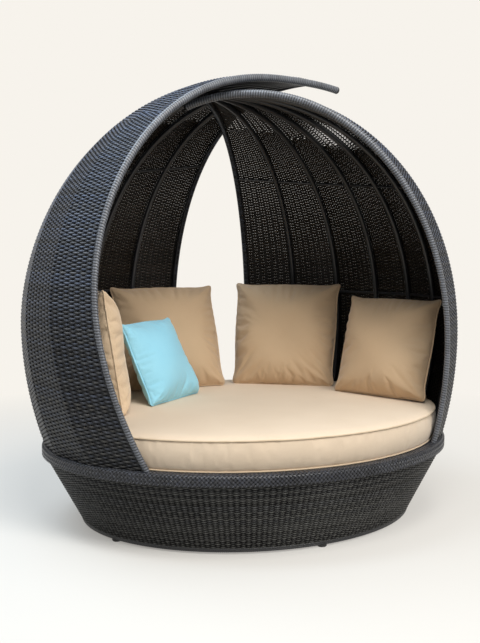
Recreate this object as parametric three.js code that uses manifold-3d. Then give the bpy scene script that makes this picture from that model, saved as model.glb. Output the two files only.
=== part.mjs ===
// An outdoor daybed with a canopy: an oval woven base on a tube frame, two overlapping woven shells that
// stand on its rim, and a loose mattress with four pillows and a throw pillow.
// Lengths are millimetres and angles are degrees. +Z is up, +X runs along the seat's long side, and the
// open front faces -Y. The origin is on the floor, under the centre leg.
// An azimuth is measured round the oval from the front, positive towards +X.

import * as THREE from 'three';
import { mergeVertices } from 'three/addons/utils/BufferGeometryUtils.js';
import Module from 'manifold-3d';

const wasm = await Module();
wasm.setup();

// Sizes shared by all pieces
const clearance = 0.3; // gap between pieces that touch
const overrun = 40; // how far a cutter runs past what it cuts
const depthShare = 0.8; // depth over width of every oval
const ovalSegments = 48; // facets round an oval

// Base: braided band, woven wall, two rings, posts, glides
const bandHalfWidth = 1010;
const seatHeight = 387;
const bandHeight = 40;
const bandSkirt = 8;
const bandFlange = 6;
const bandFlangeWidth = 52;
const bandRounding = 7;
const wallThickness = 6;
const wallLap = 28; // height of the wall that the band's skirt hides
const hemHalfWidth = 833;
const hemHeight = 15;
const hemTurn = 4;
const ringRadius = 15;
const ringSides = 8;
const postRadius = 10;
const postSides = 6;
const postCount = 8;
const glideCount = 5;
const firstGlideAzimuth = -60;
const glideRadius = 22;
const glideBevel = 3;

// Seat deck, its bearers and the centre leg
const deckThickness = 12;
const bearerSide = 25;
const bearerSpacing = 480;
const drainSlotLength = 240;
const drainSlotWidth = 24;
const drainSlotPitch = 150;
const drainRowOffset = 300;
const drainColumns = 8;
const legRadius = 16;
const legPadRadius = 32;
const legPadHeight = 10;

// Shell tubes and skins
const rimRadius = 20;
const rimSides = 10;
const ribRadius = 13;
const ribSides = 6;
const hoopRadius = 7;
const hoopInset = 2; // how far the hoops stay behind the ribs' outer side
const hoopSides = 6;
const skinThickness = 6;
const gores = 8;
const levels = 18; // straight stretches of a rib, foot to crown
const capLength = 14;
const capRoundingShare = 0.35;

// Bolts that hold the shells to the base
const boltRadius = 5;
const boltHeadRadius = 9;
const boltHeadHeight = 6.4;
const boltBite = 16;
const boltSides = 12;
const hexSides = 6;

// The two shells. The pole is where a shell's ribs meet, past the middle of the seat. The rim is the
// shell's front tube: it sweeps towards the front as it comes down, and runs on past the pole as a horn.
// crownPower and shoulderPower shape the arc from the belly to the crown, sweepPower the rim's sweep.
const leftShell = {
  side: 'left',
  poleAcross: 314,
  poleBack: 33,
  crownHeight: 2117,
  bellyHeight: 946,
  swellShare: 1.074,
  crownPower: 1.83,
  shoulderPower: 2.52,
  edgeAzimuth: -169,
  rimAzimuth: -53,
  footSweep: 15,
  sweepPower: 2.3,
  rimFan: 60,
  hornLength: 202,
  upperHoopBack: 1754,
  upperHoopFront: 1560,
  lowerHoop: 1075,
};
const rightShell = {
  side: 'right',
  poleAcross: -242,
  poleBack: -55,
  crownHeight: 2017,
  bellyHeight: 863,
  swellShare: 1.064,
  crownPower: 2.04,
  shoulderPower: 2.2,
  edgeAzimuth: 168.5,
  rimAzimuth: 39.6,
  footSweep: 15.4,
  sweepPower: 0.37,
  rimFan: 206,
  hornLength: 69,
  upperHoopBack: 1684,
  upperHoopFront: 1575,
  lowerHoop: 1055,
};

// Mattress: a boxed cushion with a piped edge, drawn in at mid height
const mattressFoot = 952; // half width at the bottom piping
const mattressHead = 968; // half width at the top piping
const mattressHeight = 146;
const mattressCrown = 18;
const pipingRadius = 5;
const mattressWaist = 5;

// Pillows: square, crowned, with edges drawn in between the corners
const pillowSide = 608;
const slumpedSide = 545; // the right pillow, which sags in the bend of the shell
const pillowThickness = 190;
const throwSide = 442;
const throwThickness = 150;
const pillowDrawIn = 18;
const throwDrawIn = 13;
const pillowCells = 10;
const pillowCrownPower = 0.5;
// where each stands: middle of its lower edge, the way it faces, and how far it leans back
const farLeftPlace = { across: -690, back: 64, facing: 98, lean: 8 };
const backLeftPlace = { across: -292, back: 430, facing: 6, lean: 24 };
const backCentrePlace = { across: 312, back: 404, facing: -26, lean: 20 };
const rightPlace = { across: 681, back: -66, facing: -52, lean: 19 };
const throwPlace = { across: -347, back: 100, facing: 46, lean: 25 };

// Finishes
const weave = { color: 0x2b2a30, roughness: 0.55, metalness: 0 };
const wrappedTube = { color: 0x3a3d45, roughness: 0.45, metalness: 0 };
const bareTube = { color: 0x4a4d50, roughness: 0.5, metalness: 0.8 };
const deckBoard = { color: 0x3b352f, roughness: 0.8, metalness: 0 };
const blackPlastic = { color: 0x141414, roughness: 0.6, metalness: 0 };
const zincSteel = { color: 0x9aa0a3, roughness: 0.35, metalness: 1 };
const beigeFabric = { color: 0xdcc8a8, roughness: 0.9, metalness: 0 };
const tanFabric = { color: 0xae9678, roughness: 0.9, metalness: 0 };
const turquoiseFabric = { color: 0x86cbe0, roughness: 0.9, metalness: 0 };

const daybed = new THREE.Group();

function radians(degrees) {
  return THREE.MathUtils.degToRad(degrees);
}

/** Adds a piece to the daybed under its own name, with its own material. */
function addPiece(name, geometry, finish) {
  const mesh = new THREE.Mesh(geometry, new THREE.MeshStandardMaterial(finish));
  mesh.name = name;
  daybed.add(mesh);
  return mesh;
}

/** The point of an oval at an azimuth. */
function onOval(halfWidth, azimuth, height) {
  const angle = radians(azimuth);
  return new THREE.Vector3(
    halfWidth * Math.sin(angle),
    -halfWidth * depthShare * Math.cos(angle),
    height,
  );
}

/** Turns a profile of (half width, height) points round the oval. */
function ovalTurned(profile) {
  const geometry = new THREE.LatheGeometry(profile, ovalSegments);
  geometry.rotateX(Math.PI / 2);
  geometry.scale(1, depthShare, 1);
  return geometry;
}

/** Turns a profile of (radius, height) points round the vertical axis. */
function turned(profile, segments) {
  const geometry = new THREE.LatheGeometry(profile, segments);
  geometry.rotateX(Math.PI / 2);
  return geometry;
}

function profilePoints(pairs) {
  return pairs.map(([outward, height]) => new THREE.Vector2(outward, height));
}

function polygonPoints(radius, sides) {
  return Array.from({ length: sides }, (_, corner) => {
    const angle = (2 * Math.PI * corner) / sides;
    return new THREE.Vector2(radius * Math.cos(angle), radius * Math.sin(angle));
  });
}

/** A path through given points, with one step from each to the next. */
class PointPath extends THREE.Curve {
  constructor(points) {
    super();
    this.points = points;
  }

  getPoint(share) {
    const last = this.points.length - 1;
    const step = Math.min(Math.floor(THREE.MathUtils.clamp(share, 0, 1) * last), last - 1);
    return this.points[step].clone().lerp(this.points[step + 1], share * last - step);
  }

  getPointAt(share) {
    return this.getPoint(share);
  }

  getTangentAt(share) {
    return this.getTangent(share);
  }
}

/** A round bar that follows a row of points. */
function tubeAlong(points, radius, sides) {
  return new THREE.ExtrudeGeometry(new THREE.Shape(polygonPoints(radius, sides)), {
    steps: points.length - 1,
    bevelEnabled: false,
    extrudePath: new PointPath(points),
  });
}

/** The closed mesh of a geometry as a solid that can be cut. */
function toSolid(geometry) {
  const bare = geometry.clone();
  bare.deleteAttribute('normal');
  bare.deleteAttribute('uv');
  const merged = mergeVertices(bare);
  return new wasm.Manifold(new wasm.Mesh({
    numProp: 3,
    vertProperties: Float32Array.from(merged.getAttribute('position').array),
    triVerts: Uint32Array.from(merged.getIndex().array),
  }));
}

/** The mesh of a cut solid, flat shaded. */
function toGeometry(solid) {
  const { vertProperties, triVerts } = solid.getMesh();
  const geometry = new THREE.BufferGeometry();
  geometry.setAttribute('position', new THREE.BufferAttribute(Float32Array.from(vertProperties), 3));
  geometry.setIndex(new THREE.BufferAttribute(Uint32Array.from(triVerts), 1));
  const faceted = geometry.toNonIndexed();
  faceted.computeVertexNormals();
  return faceted;
}

/** A geometry with others cut out of it. Of what is left, the largest body stays. */
function cutBy(geometry, cutters) {
  let solid = toSolid(geometry);
  for (const cutter of cutters) {
    solid = solid.subtract(toSolid(cutter));
  }
  const bodies = solid.decompose().sort((one, other) => other.volume() - one.volume());
  return toGeometry(bodies[0]);
}

/** A block that fills all below a height, round a point. */
function blockBelow(point, height) {
  const block = new THREE.BoxGeometry(2 * overrun, 2 * overrun, 2 * overrun);
  block.translate(point.x, point.y, height - overrun);
  return block;
}

// Base

const wallOutside = bandHalfWidth - bandSkirt - clearance; // where the skirt laps the wall
const ringHalfWidth = wallOutside - wallThickness - clearance - ringRadius;
const ringHeight = seatHeight - bandFlange - clearance - ringRadius;
const skirtFoot = seatHeight - bandHeight;
const wallSlope = (wallOutside - hemHalfWidth) / (skirtFoot - hemHeight - hemTurn);
const slopeStretch = Math.hypot(1, wallSlope); // a slanted wall's level thickness over its real one
const floorRingHeight = hemHeight + ringRadius;
const floorRingHalfWidth = hemHalfWidth + wallSlope * (floorRingHeight - hemHeight - hemTurn)
  - (wallThickness + clearance + ringRadius) * slopeStretch;
const facetShare = Math.cos(Math.PI / ovalSegments); // how far in the middle of an oval's facet lies
const shellFoot = seatHeight + clearance;
const glideAzimuths = Array.from({ length: glideCount }, (_, index) => (
  firstGlideAzimuth + (360 / glideCount) * index
));
const boltAzimuths = [leftShell, rightShell].flatMap((shell) => [
  { name: `${shell.side}_rim_bolt`, azimuth: shell.rimAzimuth + shell.footSweep },
  { name: `${shell.side}_edge_bolt`, azimuth: shell.edgeAzimuth },
]);

/** The hole that a shell's bolt needs at an azimuth. */
function boltHole(azimuth) {
  const hole = new THREE.CylinderGeometry(
    boltRadius + clearance,
    boltRadius + clearance,
    ringRadius + overrun + boltBite + clearance,
    boltSides,
  );
  hole.rotateX(Math.PI / 2);
  const top = shellFoot + boltBite + clearance;
  const place = onOval(ringHalfWidth, azimuth, top - (ringRadius + overrun + boltBite + clearance) / 2);
  hole.translate(place.x, place.y, place.z);
  return hole;
}

/** A round-section ring that follows the oval. */
function ovalRing(halfWidth, height, radius) {
  const section = polygonPoints(radius, ringSides).map((point) => (
    new THREE.Vector2(halfWidth + point.x, height + point.y)
  ));
  return ovalTurned([...section, section[0]]);
}

function buildBase() {
  const band = profilePoints([
    [bandHalfWidth, skirtFoot],
    [bandHalfWidth, seatHeight - bandRounding],
    [bandHalfWidth - bandRounding, seatHeight],
    [bandHalfWidth - bandFlangeWidth, seatHeight],
    [bandHalfWidth - bandFlangeWidth, seatHeight - bandFlange],
    [bandHalfWidth - bandSkirt, seatHeight - bandFlange],
    [bandHalfWidth - bandSkirt, skirtFoot],
    [bandHalfWidth, skirtFoot],
  ]);
  const holes = boltAzimuths.map(({ azimuth }) => boltHole(azimuth));
  addPiece('base_rim_band', cutBy(ovalTurned(band), holes), weave);
  addPiece('base_rim_ring', cutBy(ovalRing(ringHalfWidth, ringHeight, ringRadius), holes), bareTube);
  addPiece('base_floor_ring', ovalRing(floorRingHalfWidth, floorRingHeight, ringRadius), bareTube);

  const level = wallThickness * slopeStretch;
  const wall = profilePoints([
    [hemHalfWidth - hemTurn, hemHeight],
    [hemHalfWidth, hemHeight + hemTurn],
    [wallOutside, skirtFoot],
    [wallOutside, skirtFoot + wallLap],
    [wallOutside - wallThickness, skirtFoot + wallLap],
    [wallOutside - wallThickness, skirtFoot],
    [hemHalfWidth - level, hemHeight + hemTurn],
    [hemHalfWidth - level, hemHeight],
    [hemHalfWidth - hemTurn, hemHeight],
  ]);
  addPiece('base_woven_wall', ovalTurned(wall), weave);

  // the posts are coped onto both rings
  const ringCutters = [
    ovalRing(floorRingHalfWidth, floorRingHeight, ringRadius + clearance),
    ovalRing(ringHalfWidth, ringHeight, ringRadius + clearance),
  ];
  for (let index = 0; index < postCount; index += 1) {
    const azimuth = firstGlideAzimuth + (360 / postCount) * index;
    const post = tubeAlong(
      [onOval(floorRingHalfWidth, azimuth, floorRingHeight), onOval(ringHalfWidth, azimuth, ringHeight)],
      postRadius,
      postSides,
    );
    addPiece(`base_post_${index + 1}`, cutBy(post, ringCutters), bareTube);
  }

  glideAzimuths.forEach((azimuth, index) => {
    const glide = turned(profilePoints([
      [0, 0],
      [glideRadius - glideBevel, 0],
      [glideRadius, glideBevel],
      [glideRadius, hemHeight - clearance],
      [0, hemHeight - clearance],
    ]), boltSides);
    addPiece(`glide_${index + 1}`, glide, blackPlastic).position.copy(
      onOval(floorRingHalfWidth, azimuth, 0),
    );
  });
}

function buildDeck() {
  const deckHalfWidth = bandHalfWidth - bandFlangeWidth - clearance;
  const top = seatHeight;
  const board = ovalTurned(profilePoints([
    [0, top - deckThickness],
    [deckHalfWidth, top - deckThickness],
    [deckHalfWidth, top],
    [0, top],
  ]));
  const slots = [];
  for (let column = 0; column < drainColumns; column += 1) {
    const across = (column - (drainColumns - 1) / 2) * drainSlotPitch;
    for (const row of [-drainRowOffset, drainRowOffset]) {
      const slot = new THREE.BoxGeometry(drainSlotWidth, drainSlotLength, overrun);
      slots.push(slot.translate(across, row, top));
    }
  }
  const deck = cutBy(board, slots);
  addPiece('seat_deck', deck, deckBoard);

  const bearerTop = seatHeight - deckThickness - clearance;
  const reachHalfWidth = (ringHalfWidth - ringRadius) * facetShare - clearance;
  [-1, 0, 1].forEach((step, index) => {
    const across = step * bearerSpacing;
    const outerCorner = Math.abs(across) + bearerSide / 2;
    const halfLength = reachHalfWidth * depthShare * Math.sqrt(1 - (outerCorner / reachHalfWidth) ** 2);
    const bearer = new THREE.BoxGeometry(bearerSide, 2 * halfLength, bearerSide);
    bearer.translate(across, 0, bearerTop - bearerSide / 2);
    addPiece(`deck_bearer_${index + 1}`, bearer, bareTube);
  });

  const leg = turned(profilePoints([
    [0, 0],
    [legPadRadius, 0],
    [legPadRadius, legPadHeight],
    [legRadius, legPadHeight],
    [legRadius, bearerTop - bearerSide - clearance],
    [0, bearerTop - bearerSide - clearance],
  ]), ovalSegments / 3);
  addPiece('centre_leg', leg, bareTube);
}

// Shells

/** How far a shell stands from its pole at a height, over how far its foot does. */
function reachShare(shell, height) {
  if (height < shell.bellyHeight) {
    const drop = (shell.bellyHeight - height) / (shell.bellyHeight - shellFoot);
    const footShare = 1 - 1 / shell.swellShare ** 2;
    return shell.swellShare * Math.sqrt(1 - drop ** 2 * footShare);
  }
  const rise = Math.min((height - shell.bellyHeight) / (shell.crownHeight - shell.bellyHeight), 1);
  return shell.swellShare * (1 - rise ** shell.crownPower) ** (1 / shell.shoulderPower);
}

/** The heights of a rib's points, at even steps along its arc from foot to crown. */
function levelHeights(shell) {
  const samples = 40 * levels;
  const arc = Array.from({ length: samples + 1 }, (_, index) => {
    const height = THREE.MathUtils.lerp(
      shellFoot,
      shell.crownHeight,
      Math.sin((index / samples) * (Math.PI / 2)),
    );
    return new THREE.Vector2(ringHalfWidth * reachShare(shell, height), height);
  });
  const steps = arc.map((point, index) => (index ? point.distanceTo(arc[index - 1]) : 0));
  const total = steps.reduce((sum, step) => sum + step, 0);
  const heights = [];
  let travelled = 0;
  arc.forEach((point, index) => {
    travelled += steps[index];
    if (travelled >= (total * heights.length) / levels - clearance) {
      heights.push(point.y);
    }
  });
  heights[levels] = shell.crownHeight;
  return heights.slice(0, levels + 1);
}

/** The azimuth at a height of the rib that is a share of the way from the back edge to the rim. */
function ribAzimuth(shell, share, height) {
  const lift = (height - shellFoot) / (shell.crownHeight - shellFoot);
  const sweep = shell.footSweep * share ** 2 * (1 - lift) ** shell.sweepPower;
  return THREE.MathUtils.lerp(shell.edgeAzimuth, shell.rimAzimuth, share) + sweep;
}

/** Where a rib meets the rim: each one fans out a little further from the pole. */
function ribHead(shell, share) {
  const head = new THREE.Vector3(shell.poleAcross, shell.poleBack, shell.crownHeight);
  const towardsRim = onOval(ringHalfWidth, shell.rimAzimuth, shell.crownHeight).sub(head).normalize();
  return head.addScaledVector(towardsRim, shell.rimFan * share);
}

/** The point of a shell's tube surface, a share of the way from the back edge to the rim. */
function shellPoint(shell, share, height) {
  const head = ribHead(shell, share).setZ(height);
  const foot = onOval(ringHalfWidth, ribAzimuth(shell, share, height), height);
  return head.lerp(foot, reachShare(shell, height));
}

/** The direction straight out of the shell at a point. */
function shellNormal(shell, share, height) {
  const side = shell.rimAzimuth > shell.edgeAzimuth ? 1 : -1;
  const aside = 1 / (2 * gores);
  const sideways = shellPoint(shell, share + aside, height).sub(shellPoint(shell, share - aside, height));
  const below = Math.max(height - clearance, shellFoot);
  const above = Math.min(height + clearance, shell.crownHeight);
  const upward = shellPoint(shell, share, above).sub(shellPoint(shell, share, below));
  const normal = sideways.cross(upward).multiplyScalar(side).normalize();
  if (height <= shellFoot) {
    normal.setZ(0).divideScalar(normal.lengthSq()); // level, and longer for the shell's slant
  }
  return normal;
}

/** What a function of height gives at a height, taken straight between the two levels round it. */
function betweenLevels(heights, height, at) {
  const upper = Math.max(heights.findIndex((level) => level >= height), 1);
  const share = (height - heights[upper - 1]) / (heights[upper] - heights[upper - 1]);
  return at(heights[upper - 1]).lerp(at(heights[upper]), share);
}

/** The points of one rib, run on below its foot so that it can be trimmed level. */
function ribPoints(shell, share, heights) {
  const points = heights.map((height) => shellPoint(shell, share, height));
  const footwards = points[0].clone().sub(points[1]).normalize();
  points.unshift(points[0].clone().addScaledVector(footwards, rimRadius));
  return points;
}

/** The points of the rim, which runs on past its crown and the pole as a horn. */
function rimPoints(shell, heights) {
  const points = ribPoints(shell, 1, heights);
  const crown = ribHead(shell, 1);
  const outward = ribHead(shell, 0).sub(crown).normalize();
  const reach = crown.distanceTo(onOval(ringHalfWidth, shell.rimAzimuth, shell.crownHeight));
  const length = shell.rimFan + shell.hornLength;
  const steps = Math.ceil(levels / 4);
  for (let step = 1; step <= steps; step += 1) {
    const distance = (length * step) / steps;
    const fall = (distance / (reach * shell.swellShare)) ** shell.shoulderPower;
    const rise = (1 - fall) ** (1 / shell.crownPower);
    points.push(crown.clone().addScaledVector(outward, distance).setZ(
      THREE.MathUtils.lerp(shell.bellyHeight, shell.crownHeight, rise),
    ));
  }
  return points;
}

/** The points of a hoop: straight from rib to rib in their outer half, and under the skin at the rim. */
function hoopPoints(shell, heights, backHeight, frontHeight) {
  return Array.from({ length: gores + 1 }, (_, index) => {
    const share = index / gores;
    const height = THREE.MathUtils.lerp(backHeight, frontHeight, share);
    const outward = index < gores
      ? ribRadius - hoopRadius - hoopInset
      : -(skinThickness / 2 + hoopRadius + hoopInset);
    return betweenLevels(heights, height, (level) => (
      shellPoint(shell, share, level).addScaledVector(shellNormal(shell, share, level), outward)
    ));
  });
}

/** The woven skin: flat gores over the ribs, from the back edge to the middle of the rim. */
function skinGeometry(shell, heights) {
  const sections = Array.from({ length: gores + 1 }, (_, index) => {
    const share = index / gores;
    const inner = index < gores ? ribRadius + 2 * clearance : -skinThickness / 2;
    const rise = heights.map((height) => shellPoint(shell, share, height));
    const normals = heights.map((height) => shellNormal(shell, share, height));
    const outside = rise.map((point, row) => (
      point.clone().addScaledVector(normals[row], inner + skinThickness)
    ));
    const inside = rise.map((point, row) => point.clone().addScaledVector(normals[row], inner));
    return [...outside, ...inside.reverse()];
  });
  return lofted(sections);
}

/** Joins a row of closed sections, each with as many points, into one closed body. */
function lofted(sections) {
  const count = sections[0].length;
  const positions = sections.flat().flatMap((point) => point.toArray());
  const triangles = [];
  const quad = (a, b, c, d) => triangles.push(a, b, c, a, c, d);
  for (let row = 0; row + 1 < sections.length; row += 1) {
    for (let column = 0; column < count; column += 1) {
      const next = (column + 1) % count;
      quad(row * count + column, row * count + next, (row + 1) * count + next, (row + 1) * count + column);
    }
  }
  for (let column = 0; column < count / 2 - 1; column += 1) {
    const far = count - 1 - column;
    const last = (sections.length - 1) * count;
    quad(far, far - 1, column + 1, column);
    quad(last + column, last + column + 1, last + far - 1, last + far);
  }
  const geometry = new THREE.BufferGeometry();
  geometry.setAttribute('position', new THREE.Float32BufferAttribute(positions, 3));
  geometry.setIndex(triangles);
  return facingOut(geometry);
}

/** A closed geometry with its faces turned outwards. */
function facingOut(geometry) {
  const points = geometry.getAttribute('position');
  const index = Array.from(geometry.getIndex().array);
  const corners = [new THREE.Vector3(), new THREE.Vector3(), new THREE.Vector3()];
  let volume = 0;
  for (let face = 0; face < index.length; face += 3) {
    corners.forEach((corner, place) => corner.fromBufferAttribute(points, index[face + place]));
    volume += corners[0].dot(corners[1].cross(corners[2]));
  }
  if (volume < 0) {
    geometry.setIndex(index.reverse());
  }
  const faceted = geometry.toNonIndexed();
  faceted.computeVertexNormals();
  return faceted;
}

/** The domed plug that closes the end of a horn. */
function endCap(points) {
  const tip = points.at(-1);
  const along = tip.clone().sub(points.at(-2)).normalize();
  const rounding = capLength * capRoundingShare;
  const cap = turned(profilePoints([
    [0, 0],
    [rimRadius, 0],
    [rimRadius, capLength - rounding],
    [rimRadius - rounding, capLength],
    [0, capLength],
  ]), rimSides);
  cap.applyQuaternion(new THREE.Quaternion().setFromUnitVectors(new THREE.Vector3(0, 0, 1), along));
  const seat = tip.clone().addScaledVector(along, clearance);
  cap.translate(seat.x, seat.y, seat.z);
  return cap;
}

function buildShell(shell) {
  const heights = levelHeights(shell);
  const rim = rimPoints(shell, heights);
  const rimCutter = tubeAlong(rim, rimRadius + clearance, rimSides);
  const hoops = [
    ['upper', hoopPoints(shell, heights, shell.upperHoopBack, shell.upperHoopFront)],
    ['lower', hoopPoints(shell, heights, shell.lowerHoop, shell.lowerHoop)],
  ];
  const hoopCutters = hoops.map(([, points]) => tubeAlong(points, hoopRadius + clearance, hoopSides));

  const rimFoot = shellPoint(shell, 1, shellFoot);
  addPiece(`${shell.side}_rim_tube`, cutBy(tubeAlong(rim, rimRadius, rimSides), [
    blockBelow(rimFoot, shellFoot),
    boltHole(shell.rimAzimuth + shell.footSweep),
  ]), wrappedTube);
  addPiece(`${shell.side}_horn_cap`, endCap(rim), wrappedTube);

  // ribs are coped onto the rim and onto the ribs in front of them, and notched for the hoops
  const placed = [rimCutter];
  for (let index = gores - 1; index > 0; index -= 1) {
    const points = ribPoints(shell, index / gores, heights);
    addPiece(`${shell.side}_rib_${gores - index}`, cutBy(
      tubeAlong(points, ribRadius, ribSides),
      [...placed, ...hoopCutters, blockBelow(points[1], shellFoot)],
    ), wrappedTube);
    placed.push(tubeAlong(points, ribRadius + clearance, ribSides));
  }
  const edge = ribPoints(shell, 0, heights);
  addPiece(`${shell.side}_back_edge_tube`, cutBy(
    tubeAlong(edge, ribRadius, ribSides),
    [...placed, blockBelow(edge[1], shellFoot), boltHole(shell.edgeAzimuth)],
  ), wrappedTube);

  const edgeCutter = tubeAlong(edge, ribRadius + clearance, ribSides);
  hoops.forEach(([place, points]) => {
    addPiece(`${shell.side}_${place}_hoop`, cutBy(
      tubeAlong(points, hoopRadius, hoopSides),
      [rimCutter, edgeCutter],
    ), wrappedTube);
  });
  addPiece(`${shell.side}_woven_skin`, cutBy(skinGeometry(shell, heights), placed), weave);
}

function buildBolts() {
  for (const { name, azimuth } of boltAzimuths) {
    const place = onOval(ringHalfWidth, azimuth, ringHeight - ringRadius - clearance - boltHeadHeight);
    const head = new THREE.CylinderGeometry(boltHeadRadius, boltHeadRadius, boltHeadHeight, hexSides);
    head.rotateX(Math.PI / 2);
    head.translate(0, 0, boltHeadHeight / 2);
    const length = shellFoot + boltBite - place.z;
    const shank = new THREE.CylinderGeometry(boltRadius, boltRadius, length, boltSides);
    shank.rotateX(Math.PI / 2);
    shank.translate(0, 0, length / 2);
    const bolt = toGeometry(toSolid(head).add(toSolid(shank)));
    addPiece(name, bolt, zincSteel).position.copy(place);
  }
}

// Cushions

/** The mattress's upper profile as (half width, height) points, from the top piping to the middle. */
function mattressTop() {
  const base = seatHeight + clearance;
  const edge = mattressHead - 2 * pipingRadius;
  const crownShares = [1, 0.9, 0.75, 0.55, 0.3, 0];
  return crownShares.map((share) => [
    edge * share,
    base + mattressHeight + mattressCrown * (1 - share ** 3),
  ]);
}

function buildMattress() {
  const base = seatHeight + clearance;
  const head = base + mattressHeight;
  const waist = (mattressFoot + mattressHead) / 2 - pipingRadius - mattressWaist;
  const profile = profilePoints([
    [0, base],
    [mattressFoot - 2 * pipingRadius, base],
    [mattressFoot, base + pipingRadius],
    [mattressFoot - pipingRadius, base + 2 * pipingRadius],
    [waist, base + mattressHeight / 2],
    [mattressHead - pipingRadius, head - 2 * pipingRadius],
    [mattressHead, head - pipingRadius],
    ...mattressTop(),
  ]);
  addPiece('mattress', ovalTurned(profile), beigeFabric);
}

/** The height of the mattress's top under a point. */
function mattressHeightAt(point) {
  const facet = (2 * Math.PI) / ovalSegments;
  const azimuth = Math.atan2(point.x, -point.y / depthShare);
  const offMiddle = THREE.MathUtils.euclideanModulo(azimuth, facet) - facet / 2;
  const out = (Math.hypot(point.x, point.y / depthShare) * Math.cos(offMiddle)) / facetShare;
  const rows = mattressTop();
  const outer = rows.findIndex(([halfWidth], index) => index > 0 && halfWidth <= out);
  if (outer < 0) {
    return rows.at(-1)[1];
  }
  const [farOut, farHeight] = rows[outer - 1];
  const [nearOut, nearHeight] = rows[outer];
  const share = THREE.MathUtils.clamp((out - nearOut) / (farOut - nearOut), 0, 1);
  return THREE.MathUtils.lerp(nearHeight, farHeight, share);
}

/** A square pillow that stands on its lower edge, facing the front, with its middle on the Y axis. */
function pillowGeometry(side, thickness, drawIn) {
  const half = side / 2;
  const last = pillowCells;
  const grid = Array.from({ length: last + 1 }, (_, index) => Math.sin(((index / last) - 0.5) * Math.PI));
  const point = (u, v, face) => {
    const rise = ((1 - u ** 2) * (1 - v ** 2)) ** pillowCrownPower;
    return new THREE.Vector3(
      u * (half - drawIn * (1 - v ** 2)),
      -face * (thickness / 2) * rise,
      half + v * (half - drawIn * (1 - u ** 2)),
    );
  };
  const positions = [];
  const triangle = (...corners) => corners.forEach((corner) => positions.push(...corner.toArray()));
  for (const face of [1, -1]) {
    for (let row = 0; row < last; row += 1) {
      for (let column = 0; column < last; column += 1) {
        const cell = [
          point(grid[column], grid[row], face),
          point(grid[column + 1], grid[row], face),
          point(grid[column + 1], grid[row + 1], face),
          point(grid[column], grid[row + 1], face),
        ];
        // each cell is split along the diagonal that points at its own quarter's corner
        const ownQuarter = (column < last / 2) === (row < last / 2);
        const [a, b, c, d] = ownQuarter ? cell : [cell[1], cell[2], cell[3], cell[0]];
        if (face > 0) {
          triangle(a, b, c);
          triangle(a, c, d);
        } else {
          triangle(a, c, b);
          triangle(a, d, c);
        }
      }
    }
  }
  const geometry = new THREE.BufferGeometry();
  geometry.setAttribute('position', new THREE.Float32BufferAttribute(positions, 3));
  geometry.computeVertexNormals();
  return geometry;
}

/** Lowers or lifts a geometry until it just clears the mattress. */
function restOnMattress(geometry) {
  const points = geometry.getAttribute('position');
  const point = new THREE.Vector3();
  let gap = Infinity;
  for (let index = 0; index < points.count; index += 1) {
    point.fromBufferAttribute(points, index);
    gap = Math.min(gap, point.z - mattressHeightAt(point));
  }
  geometry.translate(0, 0, clearance - gap);
}

/** Adds a pillow that stands on the mattress at its place. */
function addPillow(name, geometry, place, finish) {
  geometry.rotateX(-radians(place.lean));
  geometry.rotateZ(radians(place.facing));
  geometry.translate(place.across, place.back, seatHeight);
  restOnMattress(geometry);
  addPiece(name, geometry, finish);
}

function buildPillows() {
  for (const [name, side, place] of [
    ['pillow_far_left', pillowSide, farLeftPlace],
    ['pillow_back_left', pillowSide, backLeftPlace],
    ['pillow_back_centre', pillowSide, backCentrePlace],
    ['pillow_right', slumpedSide, rightPlace],
  ]) {
    addPillow(name, pillowGeometry(side, pillowThickness, pillowDrawIn), place, tanFabric);
  }
  const throwPillow = pillowGeometry(throwSide, throwThickness, throwDrawIn);
  addPillow('throw_pillow', throwPillow, throwPlace, turquoiseFabric);
}

buildBase();
buildDeck();
buildShell(leftShell);
buildShell(rightShell);
buildBolts();
buildMattress();
buildPillows();

export default daybed;
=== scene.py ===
"""Looks of an outdoor daybed with a canopy: its weave, wrapped tubes, cushions, floor and light.

Lengths are metres and angles are degrees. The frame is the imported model's: +Z is up, +X runs along the
seat's long side and the open front faces -Y. An azimuth is measured round the oval from the front.
"""

import logging
import math
from dataclasses import dataclass
from enum import Enum
from functools import lru_cache
from typing import Any, Callable, Mapping, Sequence

import bpy
import numpy as np
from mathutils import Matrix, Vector
from mathutils.bvhtree import BVHTree


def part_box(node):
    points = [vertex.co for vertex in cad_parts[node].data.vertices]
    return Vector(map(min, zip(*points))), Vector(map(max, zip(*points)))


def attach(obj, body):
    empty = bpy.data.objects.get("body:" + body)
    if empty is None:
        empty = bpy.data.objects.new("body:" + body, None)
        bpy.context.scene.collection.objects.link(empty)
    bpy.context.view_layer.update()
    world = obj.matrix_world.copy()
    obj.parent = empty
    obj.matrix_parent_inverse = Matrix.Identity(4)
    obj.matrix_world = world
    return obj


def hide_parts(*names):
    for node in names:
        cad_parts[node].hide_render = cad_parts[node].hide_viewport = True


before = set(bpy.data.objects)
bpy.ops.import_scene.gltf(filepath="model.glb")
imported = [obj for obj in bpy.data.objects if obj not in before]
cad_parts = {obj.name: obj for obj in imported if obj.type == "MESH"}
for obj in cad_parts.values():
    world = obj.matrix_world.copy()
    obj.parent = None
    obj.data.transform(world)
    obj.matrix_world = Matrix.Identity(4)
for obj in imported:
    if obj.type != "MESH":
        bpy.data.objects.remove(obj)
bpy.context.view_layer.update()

LOG = logging.getLogger("daybed")
SEED = 11

DEPTH_SHARE = 0.8
RING_HALF_WIDTH = 0.9804
SHELL_FOOT = 0.3873
GORES = 8
WEAVE_BANDS = ("low", "middle", "high")
FRAME_BODY = "frame"

Array = np.ndarray
Colour = tuple[float, float, float]


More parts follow.
